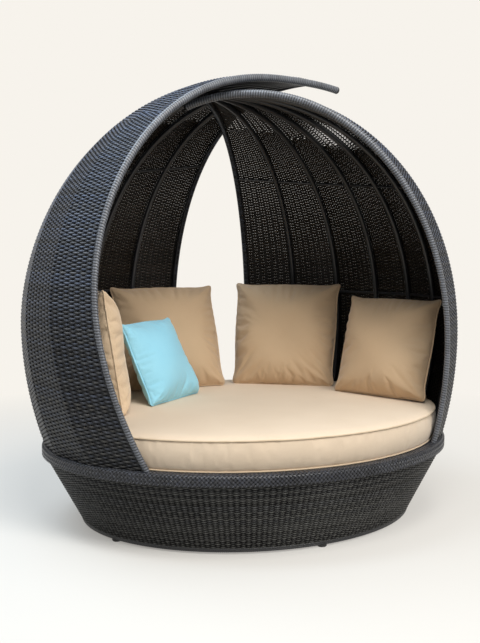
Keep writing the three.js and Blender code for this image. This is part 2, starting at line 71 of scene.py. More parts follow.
class Slot(Enum):
    """Material slot names."""

    WEAVE = "dark_weave"
    WRAPPED = "wrapped_tube"
    FRAME = "frame_tube"
    DECK = "deck_board"
    GLIDE = "glide_plastic"
    BOLT = "bolt_steel"
    MATTRESS = "mattress_fabric"
    PILLOW = "pillow_fabric"
    THROW = "throw_fabric"


class Side(Enum):
    """The two shells."""

    LEFT = "left"
    RIGHT = "right"


def linear(red: int, green: int, blue: int) -> Colour:
    """Turns a display colour into a linear one.

    Args:
        red: Red from 0 to 255.
        green: Green from 0 to 255.
        blue: Blue from 0 to 255.

    Returns:
        The colour as three linear values.
    """
    shares = (value / 255 for value in (red, green, blue))
    return tuple(s / 12.92 if s <= 0.04045 else ((s + 0.055) / 1.055) ** 2.4 for s in shares)


class Graph:
    """A node tree under construction, with one method for any node."""

    def __init__(self, tree: bpy.types.NodeTree) -> None:
        """Starts on a tree.

        Args:
            tree: The node tree that gets the nodes.
        """
        self.tree = tree

    def node(
        self,
        kind: str,
        settings: Mapping[str, Any] | None = None,
        sockets: Mapping[str | int, Any] | None = None,
    ) -> bpy.types.Node:
        """Adds a node, sets its options and then fills its sockets.

        Args:
            kind: The node's type name.
            settings: Options by name; "stops" gives a ramp's (position, colour) pairs.
            sockets: Values, sockets or terms by the input's name or number.

        Returns:
            The new node.
        """
        made = self.tree.nodes.new(kind)
        for name, value in (settings or {}).items():
            if name == "stops":
                self._set_stops(made.color_ramp, value)
            else:
                setattr(made, name, value)
        for key, value in (sockets or {}).items():
            source = value.socket if isinstance(value, Term) else value
            if isinstance(source, bpy.types.NodeSocket):
                self.tree.links.new(source, made.inputs[key])
            else:
                made.inputs[key].default_value = source
        return made

    def term(
        self,
        kind: str,
        settings: Mapping[str, Any] | None = None,
        sockets: Mapping[str | int, Any] | None = None,
        output: str | int = 0,
    ) -> "Term":
        """Adds a node and gives one of its outputs as a term.

        Args:
            kind: The node's type name.
            settings: Options by name.
            sockets: Values, sockets or terms by input.
            output: The output's name or number.

        Returns:
            The output as a term.
        """
        return Term(self, self.node(kind, settings, sockets).outputs[output])

    def mixed(self, factor: "Term | float", first: Any, second: Any) -> "Term":
        """Mixes two colours.

        Args:
            factor: Share of the second colour.
            first: A colour or term.
            second: A colour or term.

        Returns:
            The mixed colour.
        """
        sockets = {0: factor, 6: _with_alpha(first), 7: _with_alpha(second)}
        return self.term("ShaderNodeMix", {"data_type": "RGBA"}, sockets, 2)

    def fac(self, name: str) -> "Term":
        """A number that the mesh keeps under a name."""
        return self.term("ShaderNodeAttribute", {"attribute_name": name}, output="Fac")

    def noise(self, place: "Term", scale: float, detail: float) -> "Term":
        """Soft noise from 0 to 1.

        Args:
            place: Where it is read.
            scale: How fine it is.
            detail: How many finer layers it has.

        Returns:
            The noise.
        """
        sockets = {"Vector": place, "Scale": scale, "Detail": detail}
        return self.term("ShaderNodeTexNoise", sockets=sockets)

    def scatter(self, value: "Term") -> "Term":
        """A random number from 0 to 1 for each value."""
        return self.term("ShaderNodeTexWhiteNoise", {"noise_dimensions": "1D"}, {"W": value}, "Value")

    def bump(self, height: "Term", strength: float, distance: float) -> "Term":
        """Turns heights into a surface's normal.

        Args:
            height: The heights.
            strength: How strongly they show.
            distance: How high 1 is, in metres.

        Returns:
            The normal.
        """
        sockets = {"Strength": strength, "Distance": distance, "Height": height}
        return self.term("ShaderNodeBump", sockets=sockets, output="Normal")

    def parts(self, vector: "Term") -> list["Term"]:
        """A vector's three numbers."""
        split = self.node("ShaderNodeSeparateXYZ", sockets={0: vector})
        return [Term(self, output) for output in split.outputs]

    @staticmethod
    def _set_stops(ramp: bpy.types.ColorRamp, stops: Sequence[tuple[float, Colour]]) -> None:
        """Gives a colour ramp its stops.

        Args:
            ramp: The ramp.
            stops: Positions with their colours, from low to high.
        """
        while len(ramp.elements) < len(stops):
            ramp.elements.new(1.0)
        for element, (position, colour) in zip(ramp.elements, stops):
            element.position = position
            element.color = (*colour, 1.0)


class Term:
    """A node's output that takes part in Python expressions; each operator adds its Math node."""

    def __init__(self, graph: Graph, socket: bpy.types.NodeSocket) -> None:
        """Wraps a socket.

        Args:
            graph: The tree that the socket is in.
            socket: The output socket.
        """
        self.graph = graph
        self.socket = socket

    def math(self, operation: str, *others: "Term | float", clamp: bool = False) -> "Term":
        """Adds a Math node on this term.

        Args:
            operation: The node's operation.
            others: Its further values.
            clamp: Whether the result stays between 0 and 1.

        Returns:
            The result.
        """
        sockets = dict(enumerate((self, *others)))
        settings = {"operation": operation, "use_clamp": clamp}
        return self.graph.term("ShaderNodeMath", settings, sockets)

    def limited(self) -> "Term":
        """Keeps the number between 0 and 1."""
        return self.math("MAXIMUM", 0.0, clamp=True)

    def __add__(self, other: "Term | float") -> "Term":
        """Adds."""
        return self.math("ADD", other)

    __radd__ = __add__

    def __sub__(self, other: "Term | float") -> "Term":
        """Subtracts."""
        return self.math("SUBTRACT", other)

    def __rsub__(self, other: "Term | float") -> "Term":
        """Is subtracted from a number."""
        return self.math("MULTIPLY_ADD", -1.0, other)

    def __mul__(self, other: "Term | float") -> "Term":
        """Multiplies."""
        return self.math("MULTIPLY", other)

    __rmul__ = __mul__

    def __truediv__(self, other: "Term | float") -> "Term":
        """Divides."""
        return self.math("DIVIDE", other)

    def __abs__(self) -> "Term":
        """Drops the sign."""
        return self.math("ABSOLUTE")


def _with_alpha(value: Any) -> Any:
    """Gives a plain colour its fourth value, and leaves anything else as it is."""
    return (*value, 1.0) if isinstance(value, tuple) and len(value) == 3 else value


def new_shader(name: str) -> tuple[bpy.types.Material, Graph]:
    """Starts a material with an empty node tree.

    Args:
        name: The material's name.

    Returns:
        The material and its graph.
    """
    material = bpy.data.materials.new(name)
    material.use_nodes = True
    material.node_tree.nodes.clear()
    return material, Graph(material.node_tree)


def finish_shader(graph: Graph, sockets: Mapping[str, Any]) -> None:
    """Ends a material in a Principled shader.

    Args:
        graph: The material's graph.
        sockets: The shader's inputs.
    """
    shader = graph.node("ShaderNodeBsdfPrincipled", sockets=sockets)
    graph.node("ShaderNodeOutputMaterial", sockets={"Surface": shader.outputs[0]})


@dataclass(frozen=True)
class StrandFinish:
    """Flat resin strand: cool outside and browner inside, a painted sky light and a painted warm bounce,
    with painted shade where it dips under a stake, a painted highlight where it rides over one, and a
    painted blue sky reflection higher up.
    """

    name: str
    # The outer colours stand for strands in painted cool sky light and the inner ones for strands in a
    # painted warm bounce; the lighter colours also carry the painted highlight on raised strands, and the
    # bluish outer one a painted sky reflection.
    outer: Colour
    outer_worn_and_lit: Colour
    outer_blue_and_sky_sheen: Colour
    inner: Colour
    inner_light: Colour
    roughness: float = 0.42
    shine: float = 0.22
    coat: float = 0.03
    coat_roughness: float = 0.3
    grain_scale: float = 260.0
    grain_height: float = 0.0006
    roughness_spread: float = 0.22
    patch_scale: float = 3.5
    tone_share: float = 0.45
    patch_share: float = 0.45
    # The lift's share paints shade under the stakes and a highlight over them.
    lift_shading_share: float = 0.62
    darkening: float = 0.28
    # The rise of blue with height is a painted sky reflection; the spread gives each strand its own tone.
    sky_sheen_rise: float = 0.55
    blue_spread: float = 0.7
    blue_start: float = 0.5

    def material(self) -> bpy.types.Material:
        """Builds the material.

        Returns:
            The material, which reads the strands' tone, lift and outward attributes.
        """
        material, graph = new_shader(self.name)
        place = graph.term("ShaderNodeTexCoord", output="Object")
        tone = graph.fac("tone")
        outward = graph.term("ShaderNodeAttribute", {"attribute_name": "outward"}, output="Vector")
        facing = graph.term("ShaderNodeNewGeometry", output="Normal")
        settings = {"operation": "DOT_PRODUCT"}
        outside = graph.term("ShaderNodeVectorMath", settings, {0: outward, 1: facing}, "Value")
        outside = (outside * 1.6 + 0.5).limited()
        # Painted shade and highlight: darker where a strand dips under a stake, lighter where it rides over
        # one.
        raised = graph.fac("lift") * (outside * 2.0 - 1.0)
        patches = graph.noise(place, self.patch_scale, 2.0)
        grain = graph.noise(place, self.grain_scale, 3.0)
        # Each strand's own tone and mottle, with the painted shade and highlight added.
        paler = tone * self.tone_share + patches * self.patch_share + raised * self.lift_shading_share
        light = (paler - self.darkening).limited()
        height = graph.parts(place)[2]
        # Painted sky reflection: bluer higher up, on top of each strand's own tone.
        blue = height * self.sky_sheen_rise + graph.scatter(tone) * self.blue_spread
        bluer = (blue - self.blue_start).limited()
        # Outside, the cool colours are painted sky light; inside, the brown ones are a painted warm bounce.
        cool = graph.mixed(light, self.outer, graph.mixed(bluer, self.outer_worn_and_lit, self.outer_blue_and_sky_sheen))
        warm = graph.mixed(light, self.inner, self.inner_light)
        finish_shader(graph, {
            "Base Color": graph.mixed(outside, warm, cool),
            "Roughness": grain * self.roughness_spread + (self.roughness - self.roughness_spread / 2),
            "Specular IOR Level": self.shine,
            "Coat Weight": self.coat,
            "Coat Roughness": self.coat_roughness,
            "Normal": graph.bump(grain, 0.25, self.grain_height),
        })
        return material


@dataclass(frozen=True)
class WrapFinish:
    """Strand wound tightly round a tube, with painted shade in the grooves between its turns."""

    name: str
    ridge: Colour
    # Painted shade in the grooves between turns.
    groove_shade: Colour
    roughness: float = 0.38
    coat: float = 0.15
    coat_roughness: float = 0.28
    patch_scale: float = 9.0
    grain_scale: float = 420.0
    grain_height: float = 0.0004
    # This share paints shade into the grooves.
    groove_shading_share: float = 1.1
    turn_share: float = 0.25
    patch_share: float = 0.3
    darkening: float = 0.55

    def material(self) -> bpy.types.Material:
        """Builds the material.

        Returns:
            The material, which reads the tubes' ridge and turn attributes.
        """
        material, graph = new_shader(self.name)
        place = graph.term("ShaderNodeTexCoord", output="Object")
        shade = graph.scatter(graph.fac("turn"))
        patches = graph.noise(place, self.patch_scale, 2.0)
        # Painted shade in the grooves, from the ridge attribute, with each turn's own tone and mottle.
        paler = graph.fac("ridge") * self.groove_shading_share + shade * self.turn_share + patches * self.patch_share
        light = (paler - self.darkening).limited()
        finish_shader(graph, {
            "Base Color": graph.mixed(light, self.groove_shade, self.ridge),
            "Roughness": shade * 0.12 + self.roughness,
            "Coat Weight": self.coat,
            "Coat Roughness": self.coat_roughness,
            "Normal": graph.bump(graph.noise(place, self.grain_scale, 2.0), 0.2, self.grain_height),
        })
        return material


@dataclass(frozen=True)
class FabricFinish:
    """Outdoor canvas: a fine plain weave with soft mottling and a little sheen."""

    name: str
    colour: Colour
    shade: Colour
    thread_pitch: float = 0.0011
    thread_height: float = 0.0005
    mottle_scale: float = 5.0
    slub_scale: float = 330.0
    roughness: float = 0.8
    sheen: float = 0.25
    sheen_roughness: float = 0.5

    def material(self) -> bpy.types.Material:
        """Builds the material.

        Returns:
            The material, on object coordinates.
        """
        material, graph = new_shader(self.name)
        place = graph.term("ShaderNodeTexCoord", output="Object")
        right, back, up = graph.parts(place)
        turns = 2 * math.pi / self.thread_pitch
        weave = ((right + back) * turns).math("SINE") * (up * turns).math("SINE")
        mottle = graph.noise(place, self.mottle_scale, 4.0)
        slub = graph.noise(place, self.slub_scale, 2.0)
        light = (mottle * 0.9 + slub * 0.35 - 0.2).limited()
        finish_shader(graph, {
            "Base Color": graph.mixed(light, self.shade, self.colour),
            "Roughness": mottle * 0.1 + self.roughness,
            "Sheen Weight": self.sheen,
            "Sheen Roughness": self.sheen_roughness,
            "Normal": graph.bump(weave * 0.5 + slub, 0.3, self.thread_height),
        })
        return material


@dataclass(frozen=True)
class PlainFinish:
    """A hard finish for tubes, boards, glides and bolts: mottled colour and a fine surface."""

    name: str
    colour: Colour
    paler: Colour
    roughness: float
    metallic: float = 0.0
    scale: float = 40.0
    bump: float = 0.15
    bump_height: float = 0.0005
    stretch: tuple[float, float, float] = (1.0, 1.0, 1.0)

    def material(self) -> bpy.types.Material:
        """Builds the material.

        Returns:
            The material, on object coordinates.
        """
        material, graph = new_shader(self.name)
        place = graph.term("ShaderNodeTexCoord", output="Object")
        mapped = graph.term("ShaderNodeMapping", sockets={"Vector": place, "Scale": self.stretch})
        mottle = graph.noise(mapped, self.scale, 4.0)
        fine = graph.noise(mapped, 12 * self.scale, 2.0)
        finish_shader(graph, {
            "Base Color": graph.mixed(mottle, self.colour, self.paler),
            "Roughness": fine * 0.2 + (self.roughness - 0.1),
            "Metallic": self.metallic,
            "Normal": graph.bump(fine + mottle, self.bump, self.bump_height),
        })
        return material


Finish = StrandFinish | WrapFinish | FabricFinish | PlainFinish


@lru_cache(maxsize=None)
def material_of(finish: Finish) -> bpy.types.Material:
    """Builds each finish's material once.

    Args:
        finish: The finish.

    Returns:
        Its material.
    """
    return finish.material()


SHELL_STRAND = StrandFinish(
    "shell_strand", outer=linear(7, 8, 12), outer_worn_and_lit=linear(90, 88, 84), outer_blue_and_sky_sheen=linear(78, 91, 116),
    inner=linear(5, 4, 3), inner_light=linear(54, 45, 35),
)
BASE_STRAND = StrandFinish(
    "base_strand", outer=linear(3, 3, 4), outer_worn_and_lit=linear(104, 103, 99), outer_blue_and_sky_sheen=linear(92, 95, 103),
    inner=linear(6, 5, 4), inner_light=linear(30, 25, 20), shine=0.08, coat=0.0,
)
# The stakes' near-black colours are painted shade for where they lie under the strands.
STAKE_STRAND = StrandFinish(
    "stake_strand", outer=linear(7, 7, 9), outer_worn_and_lit=linear(24, 24, 26), outer_blue_and_sky_sheen=linear(24, 26, 32),
    inner=linear(6, 5, 4), inner_light=linear(24, 20, 16), shine=0.1, coat=0.0,
)
BRAID_STRAND = StrandFinish(
    "braid_strand", outer=linear(7, 8, 12), outer_worn_and_lit=linear(66, 67, 72), outer_blue_and_sky_sheen=linear(62, 68, 86),
    inner=linear(12, 11, 10), inner_light=linear(50, 42, 36), roughness=0.3, shine=0.35, coat=0.1,
)
# Colours in the grooves are painted shade; the rim's ridge colour is the strand's own, raised with a painted
# highlight.
RIM_WRAP = WrapFinish("rim_wrap", linear(120, 124, 132), linear(7, 8, 11), roughness=0.3)
RIB_WRAP = WrapFinish("rib_wrap", linear(40, 42, 47), linear(9, 9, 11))
BEIGE_CANVAS = FabricFinish("beige_canvas", linear(229, 209, 184), linear(216, 194, 167))
# The piping is darker than the canvas, partly its own tone and partly painted shade of the seam's crease.
BEIGE_PIPING = FabricFinish("beige_piping", linear(208, 186, 157), linear(194, 172, 142))
TAN_CANVAS = FabricFinish("tan_canvas", linear(202, 174, 140), linear(186, 158, 125))
TURQUOISE_CANVAS = FabricFinish("turquoise_canvas", linear(160, 216, 234), linear(138, 202, 224))
# A painted-light copy of the tan canvas, lighter to stand for the light that falls on the far-left pillow.
LIT_TAN_CANVAS = FabricFinish("cream_canvas", linear(222, 197, 164), linear(208, 182, 150))
BARE_TUBE = PlainFinish("powder_coat", linear(52, 54, 57), linear(66, 68, 71), 0.5, metallic=0.3)
DECK_BOARD = PlainFinish(
    "deck_ply", linear(70, 60, 50), linear(92, 78, 64), 0.7, scale=14.0, bump=0.3, stretch=(1.0, 9.0, 9.0)
)
BAND_CORE = PlainFinish("band_core", linear(22, 21, 22), linear(32, 31, 32), 0.7)
GLIDE_PLASTIC = PlainFinish("glide_rubber", linear(24, 24, 25), linear(34, 34, 35), 0.55)
BOLT_STEEL = PlainFinish("zinc_steel", linear(160, 164, 168), linear(184, 188, 190), 0.35, metallic=1.0)
FRAME_FINISHES = {
    "base_rim_band": BAND_CORE,
    "seat_deck": DECK_BOARD,
    "glide": GLIDE_PLASTIC,
    "bolt": BOLT_STEEL,
    "base_rim_ring": BARE_TUBE,
    "base_floor_ring": BARE_TUBE,
    "base_post": BARE_TUBE,
    "deck_bearer": BARE_TUBE,
    "centre_leg": BARE_TUBE,
}


def settled(piece: bpy.types.Object, body: str, replaced: Sequence[str] = ()) -> None:
    """Makes a piece ride and stand for the CAD nodes it replaces.

    Args:
        piece: The finished piece.
        body: The body it moves with.
        replaced: The CAD nodes it stands for.
    """
    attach(piece, body)
    if replaced:
        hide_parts(*replaced)
    LOG.info("%s: %d faces on %s", piece.name, len(piece.data.polygons), body)


def covered(piece: bpy.types.Object, finish: "Finish") -> None:
    """Gives a piece one finish all over."""
    piece.data.materials.clear()
    piece.data.materials.append(material_of(finish))


def new_piece(name: str, mesh: bpy.types.Mesh) -> bpy.types.Object:
    """Puts a mesh in the scene.

    Args:
        name: The piece's name.
        mesh: Its mesh.

    Returns:
        The new object, at the origin.
    """
    mesh.name = name
    piece = bpy.data.objects.new(name, mesh)
    bpy.context.scene.collection.objects.link(piece)
    return piece


def applied(piece: bpy.types.Object) -> bpy.types.Object:
    """Turns a piece's live modifiers into its mesh.

    Args:
        piece: The piece, with modifiers.

    Returns:
        The same piece, with a plain mesh and no modifiers.
    """
    bpy.context.view_layer.update()
    evaluated = piece.evaluated_get(bpy.context.evaluated_depsgraph_get())
    mesh = bpy.data.meshes.new_from_object(evaluated)
    piece.modifiers.clear()
    piece.data = mesh
    mesh.name = piece.name
    return piece


class PathTree:
    """A Geometry Nodes tree that turns a mesh of edges into solid strands or tubes."""

    def __init__(self, name: str, sizes: Mapping[str, float]) -> None:
        """Starts the tree with its named inputs.

        Args:
            name: The tree's name.
            sizes: The named number inputs with their usual values.
        """
        self.tree = bpy.data.node_groups.new(name, "GeometryNodeTree")
        self.graph = Graph(self.tree)
        faces = self.tree.interface
        faces.new_socket("Geometry", in_out="OUTPUT", socket_type="NodeSocketGeometry")
        faces.new_socket("Geometry", in_out="INPUT", socket_type="NodeSocketGeometry")
        self.sizes = {}
        for label, value in sizes.items():
            socket = faces.new_socket(label, in_out="INPUT", socket_type="NodeSocketFloat")
            socket.default_value = value
            self.sizes[label] = socket.identifier
        finish = faces.new_socket("Finish", in_out="INPUT", socket_type="NodeSocketMaterial")
        self.finish = finish.identifier
        self.group = self.graph.node("NodeGroupInput")
        self._build()

    def given(self, label: str) -> Term:
        """The group's input of that name."""
        return Term(self.graph, self.group.outputs[label])

    def attribute(self, name: str, kind: str = "FLOAT") -> Term:
        """A named attribute of the geometry."""
        return self.graph.term("GeometryNodeInputNamedAttribute", {"data_type": kind}, {"Name": name})

    def _scaled(self, vector: Term, size: Term) -> Term:
        """A vector times a number."""
        return self.graph.term("ShaderNodeVectorMath", {"operation": "SCALE"}, {0: vector, "Scale": size})

    def _build(self) -> None:
        """Adds the tree's own nodes. Each kind of tree has its own."""
        raise NotImplementedError

    def _end(self, geometry: Term) -> None:
        """Ends the tree in Realize Instances and Set Material.

        Args:
            geometry: What the tree has made.
        """
        smooth = self.graph.term("GeometryNodeSetShadeSmooth", sockets={0: geometry})
        real = self.graph.term("GeometryNodeRealizeInstances", sockets={0: smooth})
        sockets = {0: real, "Material": self.given("Finish")}
        dressed = self.graph.term("GeometryNodeSetMaterial", sockets=sockets)
        self.graph.node("NodeGroupOutput", sockets={0: dressed})

    def make(
        self, name: str, paths: "PathBundle", finish: Finish, sizes: Mapping[str, float]
    ) -> bpy.types.Object:
        """Makes one piece from paths.

        Args:
            name: The piece's name.
            paths: The paths that it follows.
            finish: Its finish.
            sizes: The tree's inputs that differ from the usual ones.

        Returns:
            The piece, as a plain mesh.
        """
        piece = new_piece(name, paths.mesh(name))
        modifier = piece.modifiers.new("paths", "NODES")
        modifier.node_group = self.tree
        for label, value in sizes.items():
            modifier[self.sizes[label]] = value
        modifier[self.finish] = material_of(finish)
        return applied(piece)


class StrandTree(PathTree):
    """Flat strands that pass over and under one another."""

    def __init__(self, corners: int) -> None:
        """Builds the tree.

        Args:
            corners: Corners of a strand's section: 4 for a plain band, 6 for a rounder one.
        """
        self.corners = corners
        sizes = {"Width": 0.01, "Thickness": 0.002, "Lift": 0.002}
        super().__init__(f"flat_strand_{corners}", sizes)

    def _build(self) -> None:
        """Lifts the paths, turns their sections to the surface and sweeps them."""
        outward = self.attribute("outward", "FLOAT_VECTOR")
        rise = self.attribute("lift") * self.given("Lift")
        offset = self._scaled(outward, rise)
        curve = self.graph.term("GeometryNodeMeshToCurve", sockets={0: self.given("Geometry")})
        lifted = self.graph.term("GeometryNodeSetPosition", sockets={0: curve, "Offset": offset})
        turned = self.graph.term(
            "GeometryNodeSetCurveNormal", {"mode": "FREE"}, {0: lifted, "Normal": outward}
        )
        ring = self.graph.term(
            "GeometryNodeCurvePrimitiveCircle", sockets={"Resolution": self.corners, "Radius": 1.0}
        )
        corner = math.pi / self.corners
        level = self.graph.term(
            "GeometryNodeTransform", sockets={0: ring, "Rotation": (0.0, 0.0, corner)}
        )
        stretch = 0.5 / math.cos(corner)
        scale = self.graph.term("ShaderNodeCombineXYZ", sockets={
            0: self.given("Thickness") * stretch, 1: self.given("Width") * stretch, 2: 1.0,
        })
        section = self.graph.term("GeometryNodeTransform", sockets={0: level, "Scale": scale})
        swept = self.graph.term("GeometryNodeCurveToMesh", sockets={
            0: turned, 1: section, "Scale": self.attribute("breadth"), "Fill Caps": True,
        })
        self._end(swept)


class WrapTree(PathTree):
    """Round tubes wound with a strand: each turn stands up as a small slanting ridge."""

    def __init__(self, sides: int, rings: int) -> None:
        """Builds the tree.

        Args:
            sides: Sides of the tube's section.
            rings: Rings of faces for each turn.
        """
        self.sides = sides
        self.rings = rings
        sizes = {"Radius": 0.02, "Turn": 0.006, "Ridge": 0.001}
        super().__init__(f"wrapped_tube_{sides}_{rings}", sizes)

    def _build(self) -> None:
        """Resamples the paths, sweeps them and presses the grooves in."""
        turn = self.given("Turn")
        curve = self.graph.term("GeometryNodeMeshToCurve", sockets={0: self.given("Geometry")})
        even = self.graph.term(
            "GeometryNodeResampleCurve", {"mode": "LENGTH"}, {0: curve, "Length": turn / float(self.rings)}
        )
        length = self.graph.term("GeometryNodeSplineParameter", output="Length")
        travelled = self._stored(even, "travelled", length / turn)
        ring = self.graph.term(
            "GeometryNodeCurvePrimitiveCircle", sockets={"Resolution": self.sides, "Radius": 1.0}
        )
        around = self.graph.term("GeometryNodeSplineParameter", output="Factor")
        section = self._stored(ring, "around", around)
        swept = self.graph.term("GeometryNodeCurveToMesh", sockets={
            0: travelled, 1: section, "Scale": self.given("Radius") * self.attribute("breadth"),
            "Fill Caps": True,
        })
        winding = self.attribute("travelled") + self.attribute("around")
        ridge = abs((winding * math.pi).math("SINE"))
        marked = self._stored(swept, "ridge", ridge)
        numbered = self._stored(marked, "turn", winding.math("FLOOR"))
        normal = self.graph.term("GeometryNodeInputNormal")
        depth = (ridge - 1.0) * self.given("Ridge")
        offset = self._scaled(normal, depth)
        pressed = self.graph.term("GeometryNodeSetPosition", sockets={0: numbered, "Offset": offset})
        self._end(pressed)

    def _stored(self, geometry: Term, name: str, value: Term) -> Term:
        """Stores a number on the points of a geometry.

        Args:
            geometry: The geometry.
            name: The attribute's name.
            value: The number for each point.

        Returns:
            The geometry with the attribute.
        """
        settings = {"data_type": "FLOAT", "domain": "POINT"}
        sockets = {0: geometry, "Name": name, "Value": value}
        return self.graph.term("GeometryNodeStoreNamedAttribute", settings, sockets)


class PathBundle:
    """Many paths kept together, with what each of their points needs."""

    def __init__(self) -> None:
        """Starts with no path."""
        self.random = np.random.default_rng(SEED)
        self.points: list[Array] = []
        self.outward: list[Array] = []
        self.lifts: list[Array] = []
        self.breadths: list[Array] = []
        self.tones: list[Array] = []
        self.edges: list[Array] = []
        self.count = 0

    def add(
        self,
        points: Array,
        outward: Array | None = None,
        lifts: Array | float = 0.0,
        breadths: Array | float = 1.0,
        closed: bool = False,
    ) -> None:
        """Adds one path.

        Args:
            points: Its points.
            outward: The direction out of the surface at each point, where that matters.
            lifts: How far it is lifted, from -1 under to 1 over.
            breadths: Its width as a share of the usual one.
            closed: Whether it runs back to its start.
        """
        size = len(points)
        ones = np.ones(size)
        self.points.append(points)
        self.outward.append(np.zeros((size, 3)) if outward is None else outward)
        self.lifts.append(ones * lifts)
        self.breadths.append(ones * breadths)
        self.tones.append(ones * self.random.random())
        starts = np.arange(size if closed else size - 1)
        self.edges.append(np.stack([starts, (starts + 1) % size], -1) + self.count)
        self.count += size

    def mesh(self, name: str) -> bpy.types.Mesh:
        """Makes the mesh of edges.

        Args:
            name: The mesh's name.

        Returns:
            The mesh, with the points' attributes.
        """
        points = np.concatenate(self.points)
        edges = np.concatenate(self.edges)
        mesh = bpy.data.meshes.new(name)
        mesh.vertices.add(len(points))
        mesh.vertices.foreach_set("co", points.astype(np.float32).ravel())
        mesh.edges.add(len(edges))
        mesh.edges.foreach_set("vertices", edges.astype(np.int32).ravel())
        outward = mesh.attributes.new("outward", "FLOAT_VECTOR", "POINT")
        outward.data.foreach_set("vector", np.concatenate(self.outward).astype(np.float32).ravel())
        for label, values in (("lift", self.lifts), ("breadth", self.breadths), ("tone", self.tones)):
            attribute = mesh.attributes.new(label, "FLOAT", "POINT")
            attribute.data.foreach_set("value", np.concatenate(values).astype(np.float32))
        mesh.update()
        return mesh


def unit(vectors: Array) -> Array:
    """Scales vectors to length 1."""
    return vectors / np.maximum(np.linalg.norm(vectors, axis=-1, keepdims=True), 1e-12)


def lerp(first: Array | float, second: Array | float, share: Array | float) -> Array | float:
    """Goes a share of the way from one value to another."""
    return first + (second - first) * share


def on_oval(half_width: Array | float, azimuth: Array | float, height: Array | float) -> Array:
    """The points of an oval at azimuths in degrees.

    Args:
        half_width: Half the oval's width.
        azimuth: Azimuths from the front.
        height: Heights.

    Returns:
        The points, one a row.
    """
    angle = np.radians(azimuth)
    across = half_width * np.sin(angle)
    back = -half_width * DEPTH_SHARE * np.cos(angle)
    return np.stack(np.broadcast_arrays(across, back, height), -1)


def even_azimuths(count: int) -> Array:
    """Azimuths that divide an oval into equal lengths.

    Args:
        count: How many.

    Returns:
        The azimuths, from -180 up.
    """
    fine = np.linspace(-180, 180, 2881)
    steps = np.linalg.norm(np.diff(on_oval(1.0, fine, 0.0), axis=0), axis=1)
    travelled = np.concatenate([[0.0], np.cumsum(steps)])
    return np.interp(np.arange(count) * travelled[-1] / count, travelled, fine)


def oval_outward(azimuth: Array, slope: float = 0.0) -> Array:
    """The directions out of an oval wall.

    Args:
        azimuth: Azimuths in degrees.
        slope: How much the wall widens for each metre up.

    Returns:
        Unit vectors, one a row.
    """
    angle = np.radians(azimuth)
    level = unit(np.stack([np.sin(angle) * DEPTH_SHARE, -np.cos(angle), np.zeros_like(angle)], -1))
    return unit(level - np.array([0.0, 0.0, slope]))


